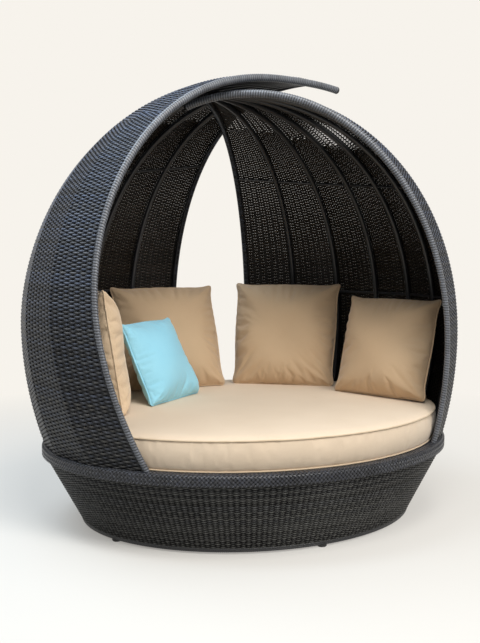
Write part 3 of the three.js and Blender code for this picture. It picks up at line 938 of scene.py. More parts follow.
@dataclass(frozen=True)
class ShellForm:
    """The surface of a canopy shell: ribs that rise from the base's oval to a pole."""

    side: Side
    pole: tuple[float, float]
    crown: float
    belly: float
    swell: float
    crown_power: float
    shoulder_power: float
    edge_azimuth: float
    rim_azimuth: float
    foot_sweep: float
    sweep_power: float
    rim_fan: float
    horn_length: float
    upper_hoop: tuple[float, float]
    lower_hoop: float
    rib_radius: float = 0.013
    skin_gap: float = 0.0006
    skin_thickness: float = 0.006
    rim_lap: float = 0.006

    def reach(self, height: Array) -> Array:
        """How far the shell stands from its pole at a height, over how far its foot does.

        Args:
            height: Heights.

        Returns:
            The shares.
        """
        drop = (self.belly - height) / (self.belly - SHELL_FOOT)
        low = self.swell * np.sqrt(1 - np.clip(drop, 0, 1) ** 2 * (1 - 1 / self.swell**2))
        rise = np.clip((height - self.belly) / (self.crown - self.belly), 0, 1)
        high = self.swell * (1 - rise**self.crown_power) ** (1 / self.shoulder_power)
        return np.where(height < self.belly, low, high)

    def azimuth(self, share: Array, height: Array) -> Array:
        """The azimuth at a height of the line that is a share of the way from the back edge to the rim."""
        lift = np.clip((height - SHELL_FOOT) / (self.crown - SHELL_FOOT), 0, 1)
        sweep = self.foot_sweep * share**2 * (1 - lift) ** self.sweep_power
        return lerp(self.edge_azimuth, self.rim_azimuth, share) + sweep

    def head(self, share: Array) -> Array:
        """Where a line meets the rim, at no height."""
        pole = np.array([*self.pole, 0.0])
        towards = unit(on_oval(RING_HALF_WIDTH, self.rim_azimuth, 0.0) - pole)
        return pole + towards * (self.rim_fan * np.asarray(share))[..., None]

    def point(self, share: Array, height: Array) -> Array:
        """Points of the tubes' surface.

        Args:
            share: Shares of the way from the back edge to the rim.
            height: Heights.

        Returns:
            The points, one a row.
        """
        share, height = np.broadcast_arrays(np.asarray(share, float), np.asarray(height, float))
        head = self.head(share)
        head[..., 2] = height
        foot = on_oval(RING_HALF_WIDTH, self.azimuth(share, height), height)
        return lerp(head, foot, self.reach(height)[..., None])

    def normal(self, share: Array, height: Array) -> Array:
        """Directions straight out of the shell.

        Args:
            share: Shares of the way from the back edge to the rim.
            height: Heights.

        Returns:
            Unit vectors, one a row.
        """
        aside = 1 / (2 * GORES)
        step = 0.0003
        sideways = self.point(share + aside, height) - self.point(share - aside, height)
        below = np.maximum(height - step, SHELL_FOOT)
        above = np.minimum(height + step, self.crown)
        upward = self.point(share, above) - self.point(share, below)
        turn = 1 if self.rim_azimuth > self.edge_azimuth else -1
        return unit(np.cross(sideways, upward) * turn)

    def skin(self, share: Array, height: Array) -> tuple[Array, Array]:
        """Points of the woven skin's middle, which is flat from rib to rib, and the directions out of it.

        Args:
            share: Shares of the way from the back edge to the rim.
            height: Heights.

        Returns:
            The points and the unit vectors, one a row.
        """
        gore = np.minimum(np.floor(share * GORES + 1e-9), GORES - 1)
        part = (share * GORES - gore)[..., None]
        over_ribs = self.rib_radius + self.skin_gap + self.skin_thickness / 2
        sides = []
        for rib in (gore, gore + 1):
            out = self.normal(rib / GORES, height)
            offset = np.where(rib < GORES, over_ribs, self.rim_lap)[..., None]
            sides.append((self.point(rib / GORES, height) + out * offset, out))
        (near, near_out), (far, far_out) = sides
        return lerp(near, far, part), unit(lerp(near_out, far_out, part))

    def heights(self, pitch: float, share: float = 0.5) -> Array:
        """Heights at even steps along a line from foot to crown.

        Args:
            pitch: Length of a step.
            share: Which line.

        Returns:
            The heights, from the foot up.
        """
        fine = lerp(SHELL_FOOT, self.crown, np.sin(np.linspace(0, math.pi / 2, 4000)))
        steps = np.linalg.norm(np.diff(self.point(np.full(fine.shape, share), fine), axis=0), axis=1)
        travelled = np.concatenate([[0.0], np.cumsum(steps)])
        count = int(travelled[-1] / pitch)
        return np.interp(np.linspace(0, travelled[-1], count + 1), travelled, fine)

    def line(self, share: float, pitch: float = 0.02) -> Array:
        """The path of a rib, which starts just inside the band.

        Args:
            share: Which rib, from 0 at the back edge to 1 at the rim.
            pitch: Length of a step.

        Returns:
            The path's points.
        """
        heights = self.heights(pitch, share)
        points = self.point(np.full(heights.shape, share), heights)
        below = points[0] + unit(points[0] - points[1]) * 0.012
        return np.concatenate([[below], points])

    def rim_line(self) -> Array:
        """The path of the rim, which runs on past its crown and the pole as a horn.

        Returns:
            The path's points.
        """
        crown = self.head(np.array(1.0))
        outward = unit(self.head(np.array(0.0)) - crown)
        reach = np.linalg.norm(crown - on_oval(RING_HALF_WIDTH, self.rim_azimuth, 0.0))
        distance = np.linspace(0, self.rim_fan + self.horn_length, 16)[1:]
        fall = (distance / (reach * self.swell)) ** self.shoulder_power
        horn = crown + outward * distance[:, None]
        horn[:, 2] = lerp(self.belly, self.crown, (1 - fall) ** (1 / self.crown_power))
        return np.concatenate([self.line(1.0), horn])

    def hoop_line(self, back: float, front: float, radius: float) -> Array:
        """The path of a hoop, straight from rib to rib and under the skin at the rim.

        Args:
            back: Its height at the back edge.
            front: Its height at the rim.
            radius: The hoop's radius.

        Returns:
            The path's points.
        """
        share = np.arange(GORES + 1) / GORES
        height = lerp(back, front, share)
        inset = 0.002
        outer = np.full(share.shape, self.rib_radius - radius - inset)
        outer[-1] = -(self.skin_thickness / 2 + radius + inset)
        return self.point(share, height) + self.normal(share, height) * outer[:, None]


@dataclass(frozen=True)
class Shell:
    """One canopy shell: its weave over stakes, and its wrapped rim, ribs, back edge and hoops."""

    form: ShellForm
    strands: StrandTree
    rim_tree: WrapTree
    rib_tree: WrapTree
    row_pitch: float = 0.0086
    finest_stakes: int = 8
    least_spacing: float = 0.018
    strand_width: float = 0.0086
    strand_thickness: float = 0.0020
    strand_lift: float = 0.0024
    stake_width: float = 0.0066
    stake_thickness: float = 0.0026
    rim_radius: float = 0.0178
    rim_foot_share: float = 0.74
    rim_turn: float = 0.0120
    rim_ridge: float = 0.0022
    rib_turn: float = 0.0062
    rib_ridge: float = 0.001
    hoop_radius: float = 0.0068
    hoop_ridge: float = 0.0008
    cap_length: float = 0.014
    slack: float = 0.07
    slack_from: float = 1.25
    slack_over: float = 0.35
    patch_slack: float = 0.38
    patch_middle: tuple[float, float] = (0.50, 1.865)
    patch_reach: tuple[float, float] = (0.085, 0.04)

    @property
    def side(self) -> str:
        """The shell's side as a word."""
        return self.form.side.value

    def stake_counts(self, heights: Array) -> Array:
        """How many stakes each gore has at each height: half drop out each time the gore gets narrow.

        Args:
            heights: The rows' heights.

        Returns:
            Counts, a row for each height and a column for each gore.
        """
        ribs = np.arange(GORES + 1) / GORES
        points = self.form.point(ribs[None, :], heights[:, None])
        widths = np.linalg.norm(np.diff(points, axis=1), axis=2)
        halvings = np.ceil(np.log2(np.maximum(self.least_spacing * self.finest_stakes / widths, 1)))
        return np.maximum(self.finest_stakes // 2**halvings.astype(int), 1)

    def weave_paths(self) -> list[PathBundle]:
        """The strands that run round the shell, in three bands from the foot up.

        Returns:
            The bundles of paths.
        """
        heights = self.form.heights(self.row_pitch)
        middles = (heights[:-1] + heights[1:]) / 2
        counts = self.stake_counts(middles)
        bands = [PathBundle() for _ in WEAVE_BANDS]
        for row, (height, stakes) in enumerate(zip(middles, counts)):
            places = [(gore + np.arange(n) / n) / GORES for gore, n in enumerate(stakes)]
            share = np.concatenate([*places, [1.0]])
            level = np.full(share.shape, height)
            points, outward = self.form.skin(share, level)
            above, _ = self.form.skin(share, np.full(share.shape, heights[row + 1]))
            below, _ = self.form.skin(share, np.full(share.shape, heights[row]))
            spacing = np.linalg.norm(above - below, axis=1)
            breadth = np.clip(spacing / self.row_pitch, 0.4, 1.6) * self._snugness(share, level)
            lifts = np.where((np.arange(len(share)) + row) % 2, 1.0, -1.0)
            turned = self._round_edge(points[0], outward[0], points[1] - points[0])
            points = np.concatenate([turned[0], points])
            outward = np.concatenate([turned[1], outward])
            lifts = np.concatenate([np.zeros(len(turned[0])), lifts])
            breadth = np.concatenate([np.full(len(turned[0]), breadth[0]), breadth])
            bands[row * len(bands) // len(middles)].add(points, outward, lifts, breadth)
        return bands

    def _snugness(self, share: Array, height: Array) -> Array:
        """How much of their usual width the strands keep.

        They're a little looser towards the crown, and much looser in one patch of the right shell.

        Args:
            share: Shares of the way from the back edge to the rim.
            height: Heights.

        Returns:
            The widths' shares.
        """
        snug = 1 - self.slack * np.clip((height - self.slack_from) / self.slack_over, 0, 1)
        if self.form.side is Side.LEFT:
            return snug
        (middle_share, middle_height), (wide, high) = self.patch_middle, self.patch_reach
        away = np.hypot((share - middle_share) / wide, (height - middle_height) / high)
        return snug - self.patch_slack * np.clip(1.8 - away, 0, 1)

    def _round_edge(self, point: Array, outward: Array, along: Array) -> tuple[Array, Array]:
        """Turns a strand's end round the back edge tube to its inner side.

        Args:
            point: Where the strand meets the tube's outer side.
            outward: The direction out of the shell there.
            along: The strand's direction, away from the edge.

        Returns:
            The further points, from the inner side on, and their outward directions.
        """
        radius = self.form.rib_radius + self.strand_thickness
        side = unit(along - outward * np.dot(along, outward))
        centre = point - outward * (radius + self.form.skin_gap)
        angles = np.radians([200.0, 160.0, 120.0, 80.0, 40.0])[:, None]
        spokes = outward * np.cos(angles) - side * np.sin(angles)
        return centre + spokes * radius, spokes

    def stake_paths(self) -> PathBundle:
        """The stakes that the strands run over and under.

        Returns:
            The paths.
        """
        heights = self.form.heights(2.5 * self.row_pitch)
        counts = self.stake_counts(heights)
        bundle = PathBundle()
        for gore in range(GORES):
            for stake in range(self.finest_stakes):
                needed = stake % (self.finest_stakes // counts[:, gore]) == 0
                top = len(heights) if needed.all() else int(np.argmin(needed))
                if top < 3:
                    continue
                share = np.full(top, (gore + stake / self.finest_stakes) / GORES)
                bundle.add(*self.form.skin(share, heights[:top]))
        return bundle

    def build(self) -> None:
        """Makes the shell's pieces and dresses them."""
        sizes = {"Width": self.strand_width, "Thickness": self.strand_thickness, "Lift": self.strand_lift}
        skin = f"{self.side}_woven_skin"
        for part, paths in zip(WEAVE_BANDS, self.weave_paths()):
            piece = self.strands.make(f"{self.side}_weave_{part}", paths, SHELL_STRAND, sizes)
            settled(piece, FRAME_BODY, [skin])
        sizes = {"Width": self.stake_width, "Thickness": self.stake_thickness, "Lift": 0.0}
        piece = self.strands.make(f"{self.side}_stakes", self.stake_paths(), STAKE_STRAND, sizes)
        settled(piece, FRAME_BODY, [skin])
        self._build_rim()
        self._build_ribs()

    def _build_rim(self) -> None:
        """Makes the wound rim with its horn, and the cap on the horn."""
        line = self.form.rim_line()
        thin, full = 1.3, self.form.crown - 0.05
        rise = np.clip((line[:, 2] - thin) / (full - thin), 0, 1)
        bundle = PathBundle()
        bundle.add(line, breadths=lerp(self.rim_foot_share, 1.0, rise))
        sizes = {"Radius": self.rim_radius, "Turn": self.rim_turn, "Ridge": self.rim_ridge}
        piece = self.rim_tree.make(f"{self.side}_rim_wound", bundle, RIM_WRAP, sizes)
        settled(piece, FRAME_BODY, [f"{self.side}_rim_tube"])
        along = unit(line[-1] - line[-2])
        shares = np.linspace(0, 1, 9)
        centres = line[-1] + along * self.cap_length * shares[:, None]
        dome = self.rim_radius * np.sqrt(np.maximum(1 - shares**3, 0.0004))
        cap = new_piece(f"{self.side}_horn_end", lofted_rings(centres, dome, along, 20))
        covered(cap, RIM_WRAP)
        settled(cap, FRAME_BODY, [f"{self.side}_horn_cap"])

    def _build_ribs(self) -> None:
        """Makes the wound ribs, the back edge and the hoops."""
        sizes = {"Radius": self.form.rib_radius, "Turn": self.rib_turn, "Ridge": self.rib_ridge}
        for index in range(GORES):
            bundle = PathBundle()
            bundle.add(self.form.line(index / GORES))
            node = f"{self.side}_rib_{GORES - index}" if index else f"{self.side}_back_edge_tube"
            piece = self.rib_tree.make(f"{node}_wound", bundle, RIB_WRAP, sizes)
            settled(piece, FRAME_BODY, [node])
        lower = (self.form.lower_hoop, self.form.lower_hoop)
        sizes = {"Radius": self.hoop_radius, "Turn": self.rib_turn, "Ridge": self.hoop_ridge}
        for place, ends in (("upper", self.form.upper_hoop), ("lower", lower)):
            bundle = PathBundle()
            bundle.add(self.form.hoop_line(*ends, self.hoop_radius))
            node = f"{self.side}_{place}_hoop"
            piece = self.rib_tree.make(f"{node}_wound", bundle, RIB_WRAP, sizes)
            settled(piece, FRAME_BODY, [node])


def ring_faces(rings: int, count: int) -> list[tuple[int, ...]]:
    """The faces between rings of points, one ring after another.

    Args:
        rings: How many rings.
        count: Points on each ring.

    Returns:
        The faces, as numbers of points.
    """
    faces = []
    for near in range(0, (rings - 1) * count, count):
        for column in range(count):
            after = (column + 1) % count
            faces.append((near + column, near + after, near + count + after, near + count + column))
    return faces


def lofted_rings(centres: Array, radii: Array, along: Array, sides: int) -> bpy.types.Mesh:
    """A closed mesh of round rings, one behind another.

    Args:
        centres: The rings' middles.
        radii: Their radii.
        along: The direction they face.
        sides: Sides of each ring.

    Returns:
        The mesh, smooth shaded.
    """
    first = unit(np.cross(along, [0.0, 0.0, 1.0]))
    second = np.cross(along, first)
    angles = np.linspace(0, 2 * math.pi, sides, endpoint=False)[:, None]
    ring = first * np.cos(angles) + second * np.sin(angles)
    points = (centres[:, None, :] + ring[None] * radii[:, None, None]).reshape(-1, 3)
    last = (len(centres) - 1) * sides
    faces = [tuple(range(sides - 1, -1, -1)), tuple(range(last, last + sides))]
    faces += ring_faces(len(centres), sides)
    mesh = bpy.data.meshes.new("rings")
    mesh.from_pydata(points.tolist(), [], faces)
    mesh.polygons.foreach_set("use_smooth", [True] * len(mesh.polygons))
    return mesh


@dataclass(frozen=True)
class Base:
    """The base: its woven wall over stakes, the braided band, the hem, and the frame inside."""

    strands: StrandTree
    wrap: WrapTree
    band_half_width: float = 1.010
    band_height: float = 0.040
    band_flange_width: float = 0.052
    band_rounding: float = 0.009
    seat_height: float = 0.387
    wall_half_width: float = 1.0017
    hem_half_width: float = 0.833
    hem_height: float = 0.017
    wall_thickness: float = 0.006
    wall_lap: float = 0.012
    row_pitch: float = 0.0064
    strand_width: float = 0.0082
    strand_thickness: float = 0.0024
    strand_lift: float = 0.0026
    stake_count: int = 216
    stake_width: float = 0.009
    stake_thickness: float = 0.0022
    hem_roll_radius: float = 0.0065
    hem_roll_heights: tuple[float, float] = (0.0245, 0.0155)
    hem_roll_insets: tuple[float, float] = (0.001, 0.004)
    braid_count: int = 310
    braid_width: float = 0.0098
    braid_thickness: float = 0.0024
    braid_lift: float = 0.0017
    braid_proud: float = 0.0025

    def wall_at(self, height: Array | float) -> Array | float:
        """Half the width of the wall's middle at a height."""
        share = (height - self.hem_height) / (self.seat_height - self.band_height - self.hem_height)
        return lerp(self.hem_half_width, self.wall_half_width, share) - self.wall_thickness / 2

    @property
    def slope(self) -> float:
        """How much the wall widens for each metre up."""
        rise = self.seat_height - self.band_height - self.hem_height
        return (self.wall_half_width - self.hem_half_width) / rise

    def build(self) -> None:
        """Makes the base's pieces and dresses the frame inside."""
        self._build_wall()
        self._build_band()
        self._dress_frame()

    def _build_wall(self) -> None:
        """Makes the wall's strands, its stakes and the hem's two wound rolls."""
        azimuths = even_azimuths(self.stake_count)
        outward = oval_outward(azimuths, self.slope)
        top = self.seat_height - self.band_height + self.wall_lap
        rise = self.row_pitch / math.hypot(1, self.slope)
        rows = PathBundle()
        for row, height in enumerate(np.arange(self.hem_height + rise, top, rise)):
            lifts = np.where((np.arange(self.stake_count) + row) % 2, 1.0, -1.0)
            rows.add(on_oval(self.wall_at(height), azimuths, height), outward, lifts, closed=True)
        sizes = {"Width": self.strand_width, "Thickness": self.strand_thickness, "Lift": self.strand_lift}
        piece = self.strands.make("base_weave", rows, BASE_STRAND, sizes)
        settled(piece, FRAME_BODY, ["base_woven_wall"])
        stakes = PathBundle()
        heights = np.linspace(self.hem_height, top, 6)
        for azimuth in azimuths:
            level = np.full(heights.shape, azimuth)
            stakes.add(on_oval(self.wall_at(heights), level, heights), oval_outward(level, self.slope))
        sizes = {"Width": self.stake_width, "Thickness": self.stake_thickness, "Lift": 0.0}
        piece = self.strands.make("base_stakes", stakes, STAKE_STRAND, sizes)
        settled(piece, FRAME_BODY, ["base_woven_wall"])
        hem = PathBundle()
        for inset, height in zip(self.hem_roll_insets, self.hem_roll_heights):
            hem.add(on_oval(self.hem_half_width - inset, even_azimuths(240), height), closed=True)
        sizes = {"Radius": self.hem_roll_radius, "Turn": 0.009, "Ridge": 0.0012}
        piece = self.wrap.make("base_hem_roll", hem, RIB_WRAP, sizes)
        settled(piece, FRAME_BODY, ["base_woven_wall"])

    def _band_profile(self) -> tuple[Array, Array]:
        """The band's outer side as the braid follows it, from the inner edge over the top to the foot.

        Returns:
            Points as (half width, height), and their outward directions.
        """
        proud = self.braid_proud
        out = self.band_half_width - self.band_rounding
        top = self.seat_height - self.band_rounding
        angles = np.radians(np.linspace(90, 0, 6))
        turn = np.stack([np.cos(angles), np.sin(angles)], -1)
        inner = [self.band_half_width - self.band_flange_width, self.seat_height + proud]
        round_top = np.array([out, top]) + turn * (self.band_rounding + proud)
        foot = [self.band_half_width + proud, self.seat_height - self.band_height - 0.002]
        points = np.concatenate([[inner], round_top, [foot]])
        return points, np.concatenate([[[0.0, 1.0]], turn, [[1.0, 0.0]]])

    def _build_band(self) -> None:
        """Makes the braid: two families of slanting strands that pass over and under each other."""
        profile, normals = self._band_profile()
        steps = np.concatenate([[0.0], np.cumsum(np.linalg.norm(np.diff(profile, axis=0), axis=1))])
        circumference = 2 * math.pi * self.band_half_width * (1 + DEPTH_SHARE) / 2
        spacing = circumference / self.braid_count
        crossings = int(steps[-1] / (spacing / 2))
        along = np.linspace(0, steps[-1], crossings + 1)
        widths = np.interp(along, steps, profile[:, 0])
        heights = np.interp(along, steps, profile[:, 1])
        facing = unit(np.stack([np.interp(along, steps, normals[:, i]) for i in (0, 1)], -1))
        azimuths = even_azimuths(2 * self.braid_count)
        bundle = PathBundle()
        for lean in (1, -1):
            for strand in range(self.braid_count):
                steps_round = (2 * strand + lean * np.arange(crossings + 1)) % len(azimuths)
                azimuth = azimuths[steps_round]
                points = on_oval(widths, azimuth, heights)
                outward = oval_outward(azimuth) * facing[:, :1] + np.array([0.0, 0.0, 1.0]) * facing[:, 1:]
                lifts = np.where((np.arange(crossings + 1) + (lean > 0)) % 2, 1.0, -1.0)
                bundle.add(points, unit(outward), lifts)
        sizes = {"Width": self.braid_width, "Thickness": self.braid_thickness, "Lift": self.braid_lift}
        piece = self.strands.make("base_braid", bundle, BRAID_STRAND, sizes)
        settled(piece, FRAME_BODY)

    @staticmethod
    def _dress_frame() -> None:
        """Gives the CAD nodes that stay in sight their finishes."""
        for name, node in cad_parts.items():
            finish = next((finish for part, finish in FRAME_FINISHES.items() if part in name), None)
            if finish:
                covered(node, finish)


@dataclass(frozen=True)
class Padding:
    """How a cushion's cover is inflated by the cloth simulation."""

    voxel: float
    cap: float
    pressure: float = 4.0
    growth: float = 0.03
    frames: int = 20

    def inflate(self, piece: bpy.types.Object, held: Callable[[Array], Array]) -> None:
        """Remeshes a cushion and lets its cover swell and pucker.

        Args:
            piece: The cushion, as a closed mesh.
            held: Gives each point's hold, from 0 free to 1 fixed.
        """
        remesh = piece.modifiers.new("remesh", "REMESH")
        remesh.mode = "VOXEL"
        remesh.voxel_size = self.voxel
        remesh.use_smooth_shade = True
        applied(piece)
        self._simulate(piece, held)
        piece.modifiers.new("smooth", "SUBSURF").render_levels = 1
        applied(piece)

    def _simulate(self, piece: bpy.types.Object, held: Callable[[Array], Array]) -> None:
        """Runs the cloth and caps how far each point moves.

        Args:
            piece: The remeshed cushion.
            held: Gives each point's hold.
        """
        start = coordinates(piece.data)
        group = piece.vertex_groups.new(name="held")
        for index, weight in enumerate(held(start)):
            if weight > 0.01:
                group.add([index], float(weight), "REPLACE")
        cloth = piece.modifiers.new("cloth", "CLOTH")
        cloth.settings.quality = 5
        cloth.settings.use_pressure = True
        cloth.settings.uniform_pressure_force = self.pressure
        cloth.settings.shrink_min = -self.growth
        cloth.settings.vertex_group_mass = group.name
        cloth.settings.pin_stiffness = 1.0
        cloth.settings.effector_weights.gravity = 0.0
        cloth.point_cache.frame_end = self.frames
        scene = bpy.context.scene
        for number in range(1, self.frames + 1):
            scene.frame_set(number)
        evaluated = piece.evaluated_get(bpy.context.evaluated_depsgraph_get())
        moved = coordinates(evaluated.data) - start
        piece.modifiers.clear()
        piece.vertex_groups.clear()
        scene.frame_set(1)
        length = np.maximum(np.linalg.norm(moved, axis=1, keepdims=True), 1e-9)
        moved *= self.cap * np.tanh(length / self.cap) / length
        piece.data.vertices.foreach_set("co", (start + moved).astype(np.float32).ravel())
        piece.data.update()


def coordinates(mesh: bpy.types.Mesh) -> Array:
    """A mesh's points, one a row."""
    flat = np.zeros(3 * len(mesh.vertices), np.float32)
    mesh.vertices.foreach_get("co", flat)
    return flat.reshape(-1, 3).astype(float)


def nearest_on(mesh: bpy.types.Mesh, points: Array) -> Array:
    """The places on a mesh that are nearest to points.

    Args:
        mesh: The mesh.
        points: The points, one a row.

    Returns:
        The places, one a row.
    """
    polygons = [tuple(polygon.vertices) for polygon in mesh.polygons]
    surface = BVHTree.FromPolygons(coordinates(mesh).tolist(), polygons)
    return np.array([surface.find_nearest(Vector(point))[0][:] for point in points])


@dataclass(frozen=True)
class Mattress:
    """The oval boxed mattress, with piping round its top and bottom edges."""

    wrap: WrapTree
    foot: float = 0.960
    head: float = 0.974
    height: float = 0.146
    crown: float = 0.018
    bottom: float = 0.3876
    piping_radius: float = 0.0040
    bulge: float = 0.006
    seam_dip: float = 0.004
    swelling_room: float = 0.008
    sides: int = 160

    def form(self) -> bpy.types.Mesh:
        """The mattress without its piping, a little smaller than it ends.

        Returns:
            A closed mesh.
        """
        foot, head = self.foot - self.swelling_room, self.head - self.swelling_room
        top = self.bottom + self.height - self.swelling_room / 2
        profile = [(0.0, self.bottom + 0.001)]
        profile += [(foot * s, self.bottom + 0.001) for s in (0.3, 0.6, 0.85, 0.97)]
        profile += [(foot - 0.004, self.bottom + 0.003), (foot, self.bottom + 0.008)]
        for share in np.linspace(0.12, 0.9, 8):
            bulge = self.bulge * math.sin(math.pi * share) - self.seam_dip * share
            profile.append((lerp(foot, head, share) + bulge, lerp(self.bottom, top, share)))
        profile += [(head, top - 0.006), (head - 0.005, top)]
        profile += [(head * s, top + self.crown * (1 - s**3)) for s in (0.97, 0.9, 0.75, 0.55, 0.3)]
        profile.append((0.0, top + self.crown))
        count = self.sides
        azimuths = np.linspace(-180, 180, count, endpoint=False)
        rings = [on_oval(width, azimuths, height) for width, height in profile[1:-1]]
        points = np.concatenate([*rings, [[0, 0, profile[0][1]], [0, 0, profile[-1][1]]]])
        faces = ring_faces(len(rings), count)
        last, low, high = (len(rings) - 1) * count, len(points) - 2, len(points) - 1
        for column in range(count):
            after = (column + 1) % count
            faces.append((low, after, column))
            faces.append((high, last + column, last + after))
        mesh = bpy.data.meshes.new("mattress")
        mesh.from_pydata(points.tolist(), [], faces)
        return mesh

    def build(self) -> None:
        """Makes the mattress and its piping."""
        piece = new_piece("mattress_cushion", self.form())
        middle = self.bottom + self.height / 2

        def held(points: Array) -> Array:
            """Holds the bottom, and the seams a little."""
            low = points[:, 2] < self.bottom + 0.012
            seam = np.abs(np.abs(points[:, 2] - middle) - self.height / 2) < 0.012
            rim = np.hypot(points[:, 0], points[:, 1] / DEPTH_SHARE) > self.head - 0.03
            return np.where(low, 1.0, np.where(seam & rim, 0.8, 0.0))

        Padding(voxel=0.016, cap=0.010, growth=0.008).inflate(piece, held)
        covered(piece, BEIGE_CANVAS)
        settled(piece, "mattress_body", ["mattress"])
        bundle = PathBundle()
        azimuths = even_azimuths(220)
        proud = oval_outward(azimuths) * 0.001
        top, inset = self.bottom + self.height, 0.007
        for width, height in ((self.head, top - inset), (self.foot, self.bottom + inset)):
            found = nearest_on(piece.data, on_oval(width, azimuths, height))
            found[:, 2] = height
            bundle.add(found + proud, closed=True)
        sizes = {"Radius": self.piping_radius, "Turn": 0.01, "Ridge": 0.0}
        piping = self.wrap.make("mattress_piping", bundle, BEIGE_PIPING, sizes)
        settled(piping, "mattress_body", ["mattress"])


@dataclass(frozen=True)
class Pillow:
    """A square pillow with piping, standing on the mattress."""

    name: str
    wrap: WrapTree
    finish: FabricFinish
    slot: Slot
    side: float
    thickness: float
    draw_in: float
    across: float
    back: float
    facing: float
    lean: float
    fill: float = 0.6
    splay: float = 0.0
    cells: int = 96
    piping_radius: float = 0.0042
    piping_share: float = 0.35
    plumpness: float = 0.36
    sag: float = 0.12
    pucker: float = 0.0042
    pucker_reach: float = 0.14
    pucker_start: float = 0.05
    crease: float = 0.0062
    crease_reach: float = 0.42
    crease_start: float = 0.15
    dent: float = 0.0042
    corner: float = 0.16
    gather: float = 0.016
    flare: float = 0.012
    ear_power: float = 6.5
    foot_share: float = 0.35

    @property
    def body(self) -> str:
        """The body it moves with."""
        return "throw_pillow_body" if self.name == "throw_pillow" else f"{self.name[7:]}_pillow_body"

    def shape(self, u: Array, v: Array, face: float) -> Array:
        """Points of one face, before the pillow is placed.

        Args:
            u: Places across, from -1 to 1.
            v: Places up, from -1 to 1.
            face: 1 for the front, -1 for the back, 0 for the seam's own level.

        Returns:
            The points, one a row.
        """
        half = self.side / 2
        wide, high = self._rounded(u, v), self._rounded(v, u)
        flattened = 1 + (1 - self.foot_share) * np.minimum(v, 0)
        across = wide * (half - self._drawn_in(high)) * (1 + self.splay * v)
        up = half + high * (half - self._drawn_in(wide) * flattened)
        rise = np.maximum((1 - u**2) * (1 - v**2), 0) ** self.plumpness
        depth = self.thickness / 2 * rise * (1 - self.sag * v) + self._folds(u, v, face)
        return np.stack([across, -face * depth, up], -1)

    def _drawn_in(self, along: Array) -> Array:
        """How far a side is drawn in between its corners, which stand out as ears.

        Args:
            along: Places along the side, from -1 to 1.

        Returns:
            The distances.
        """
        ear = np.abs(along) ** self.ear_power
        return (self.draw_in + self.gather) * (1 - ear) - self.gather * (1 - along**2) - self.flare * ear

    def _rounded(self, place: Array, other: Array) -> Array:
        """Places on the square, moved so that its corners are round.

        Args:
            place: Places along one direction, from -1 to 1.
            other: Places along the other direction.

        Returns:
            The moved places.
        """
        start = 1 - self.corner
        past = np.maximum(np.abs(place) - start, 0)
        share = np.maximum(np.abs(other) - start, 0) / self.corner
        return place - np.sign(place) * past * (1 - np.sqrt(1 - share**2 / 2))

    def _folds(self, u: Array, v: Array, face: float) -> Array:
        """How far the cover's folds stand out: puckers along the seam, creases at the corners, soft dents.

        Args:
            u: Places across, from -1 to 1.
            v: Places up, from -1 to 1.
            face: Which face, as for its shape.

        Returns:
            The heights of the folds.
        """
        random = np.random.default_rng([SEED, *self.name.encode(), int(face) + 2])
        depth = np.zeros(u.shape)
        inside = np.maximum((1 - u**2) * (1 - v**2), 0) ** 0.5
        for along, across in ((u, v), (v, u)):
            for end in (-1, 1):
                gap = 1 - end * across
                for pitch in random.uniform(18, 44, 4):
                    wave = np.sqrt(np.abs(np.sin(pitch / 2 * along + random.uniform(0, math.pi)))) - 0.76
                    near = np.exp(-gap / self.pucker_reach) * np.minimum(gap / self.pucker_start, 1)
                    depth += self.pucker * wave * near
        gap = np.hypot(1 - np.abs(u), 1 - np.abs(v))
        angle = np.arctan2(1 - np.abs(v), 1 - np.abs(u))
        corner = np.sign(u) + 3 * np.sign(v)
        crease = np.sin(angle * 11 + corner * 1.7 + face)
        near = np.exp(-((gap / self.crease_reach) ** 2)) * np.minimum(gap / self.crease_start, 1)
        depth += self.crease * crease * near
        for pitch in random.uniform(1.5, 4.5, (5, 2)):
            turn = random.uniform(0, 2 * math.pi, 2)
            depth += self.dent * np.sin(pitch[0] * u + turn[0]) * np.sin(pitch[1] * v + turn[1])
        return depth * np.minimum(inside * 3, 1)

    def placed(self, points: Array) -> Array:
        """Turns and moves points to where the pillow stands.

        Args:
            points: Points before it is placed.

        Returns:
            The points in the frame.
        """
        lean, facing = math.radians(self.lean), math.radians(self.facing)
        back = points[:, 1] * math.cos(lean) + points[:, 2] * math.sin(lean)
        up = points[:, 2] * math.cos(lean) - points[:, 1] * math.sin(lean)
        across = points[:, 0] * math.cos(facing) - back * math.sin(facing)
        back = points[:, 0] * math.sin(facing) + back * math.cos(facing)
        return np.stack([across + self.across, back + self.back, up + self._floor()], -1)

    @lru_cache(maxsize=None)
    def _floor(self) -> float:
        """The height that the pillow's own zero stands at, so that its lowest point meets the CAD's."""
        u, v = self._grid(40)
        lean = math.radians(self.lean)
        points = np.concatenate([self.shape(u, v, face) for face in (1, -1)])
        lowest = float((points[:, 2] * math.cos(lean) - points[:, 1] * math.sin(lean)).min())
        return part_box(self.name)[0].z - lowest

    @staticmethod
    def _grid(cells: int) -> tuple[Array, Array]:
        """Places on a face, closer together towards its edges.

        Args:
            cells: Cells on each side.

        Returns:
            The places across and the places up.
        """
        grid = np.sin(np.linspace(-0.5, 0.5, cells + 1) * math.pi)
        across, up = np.meshgrid(grid, grid)
        return across.ravel(), up.ravel()

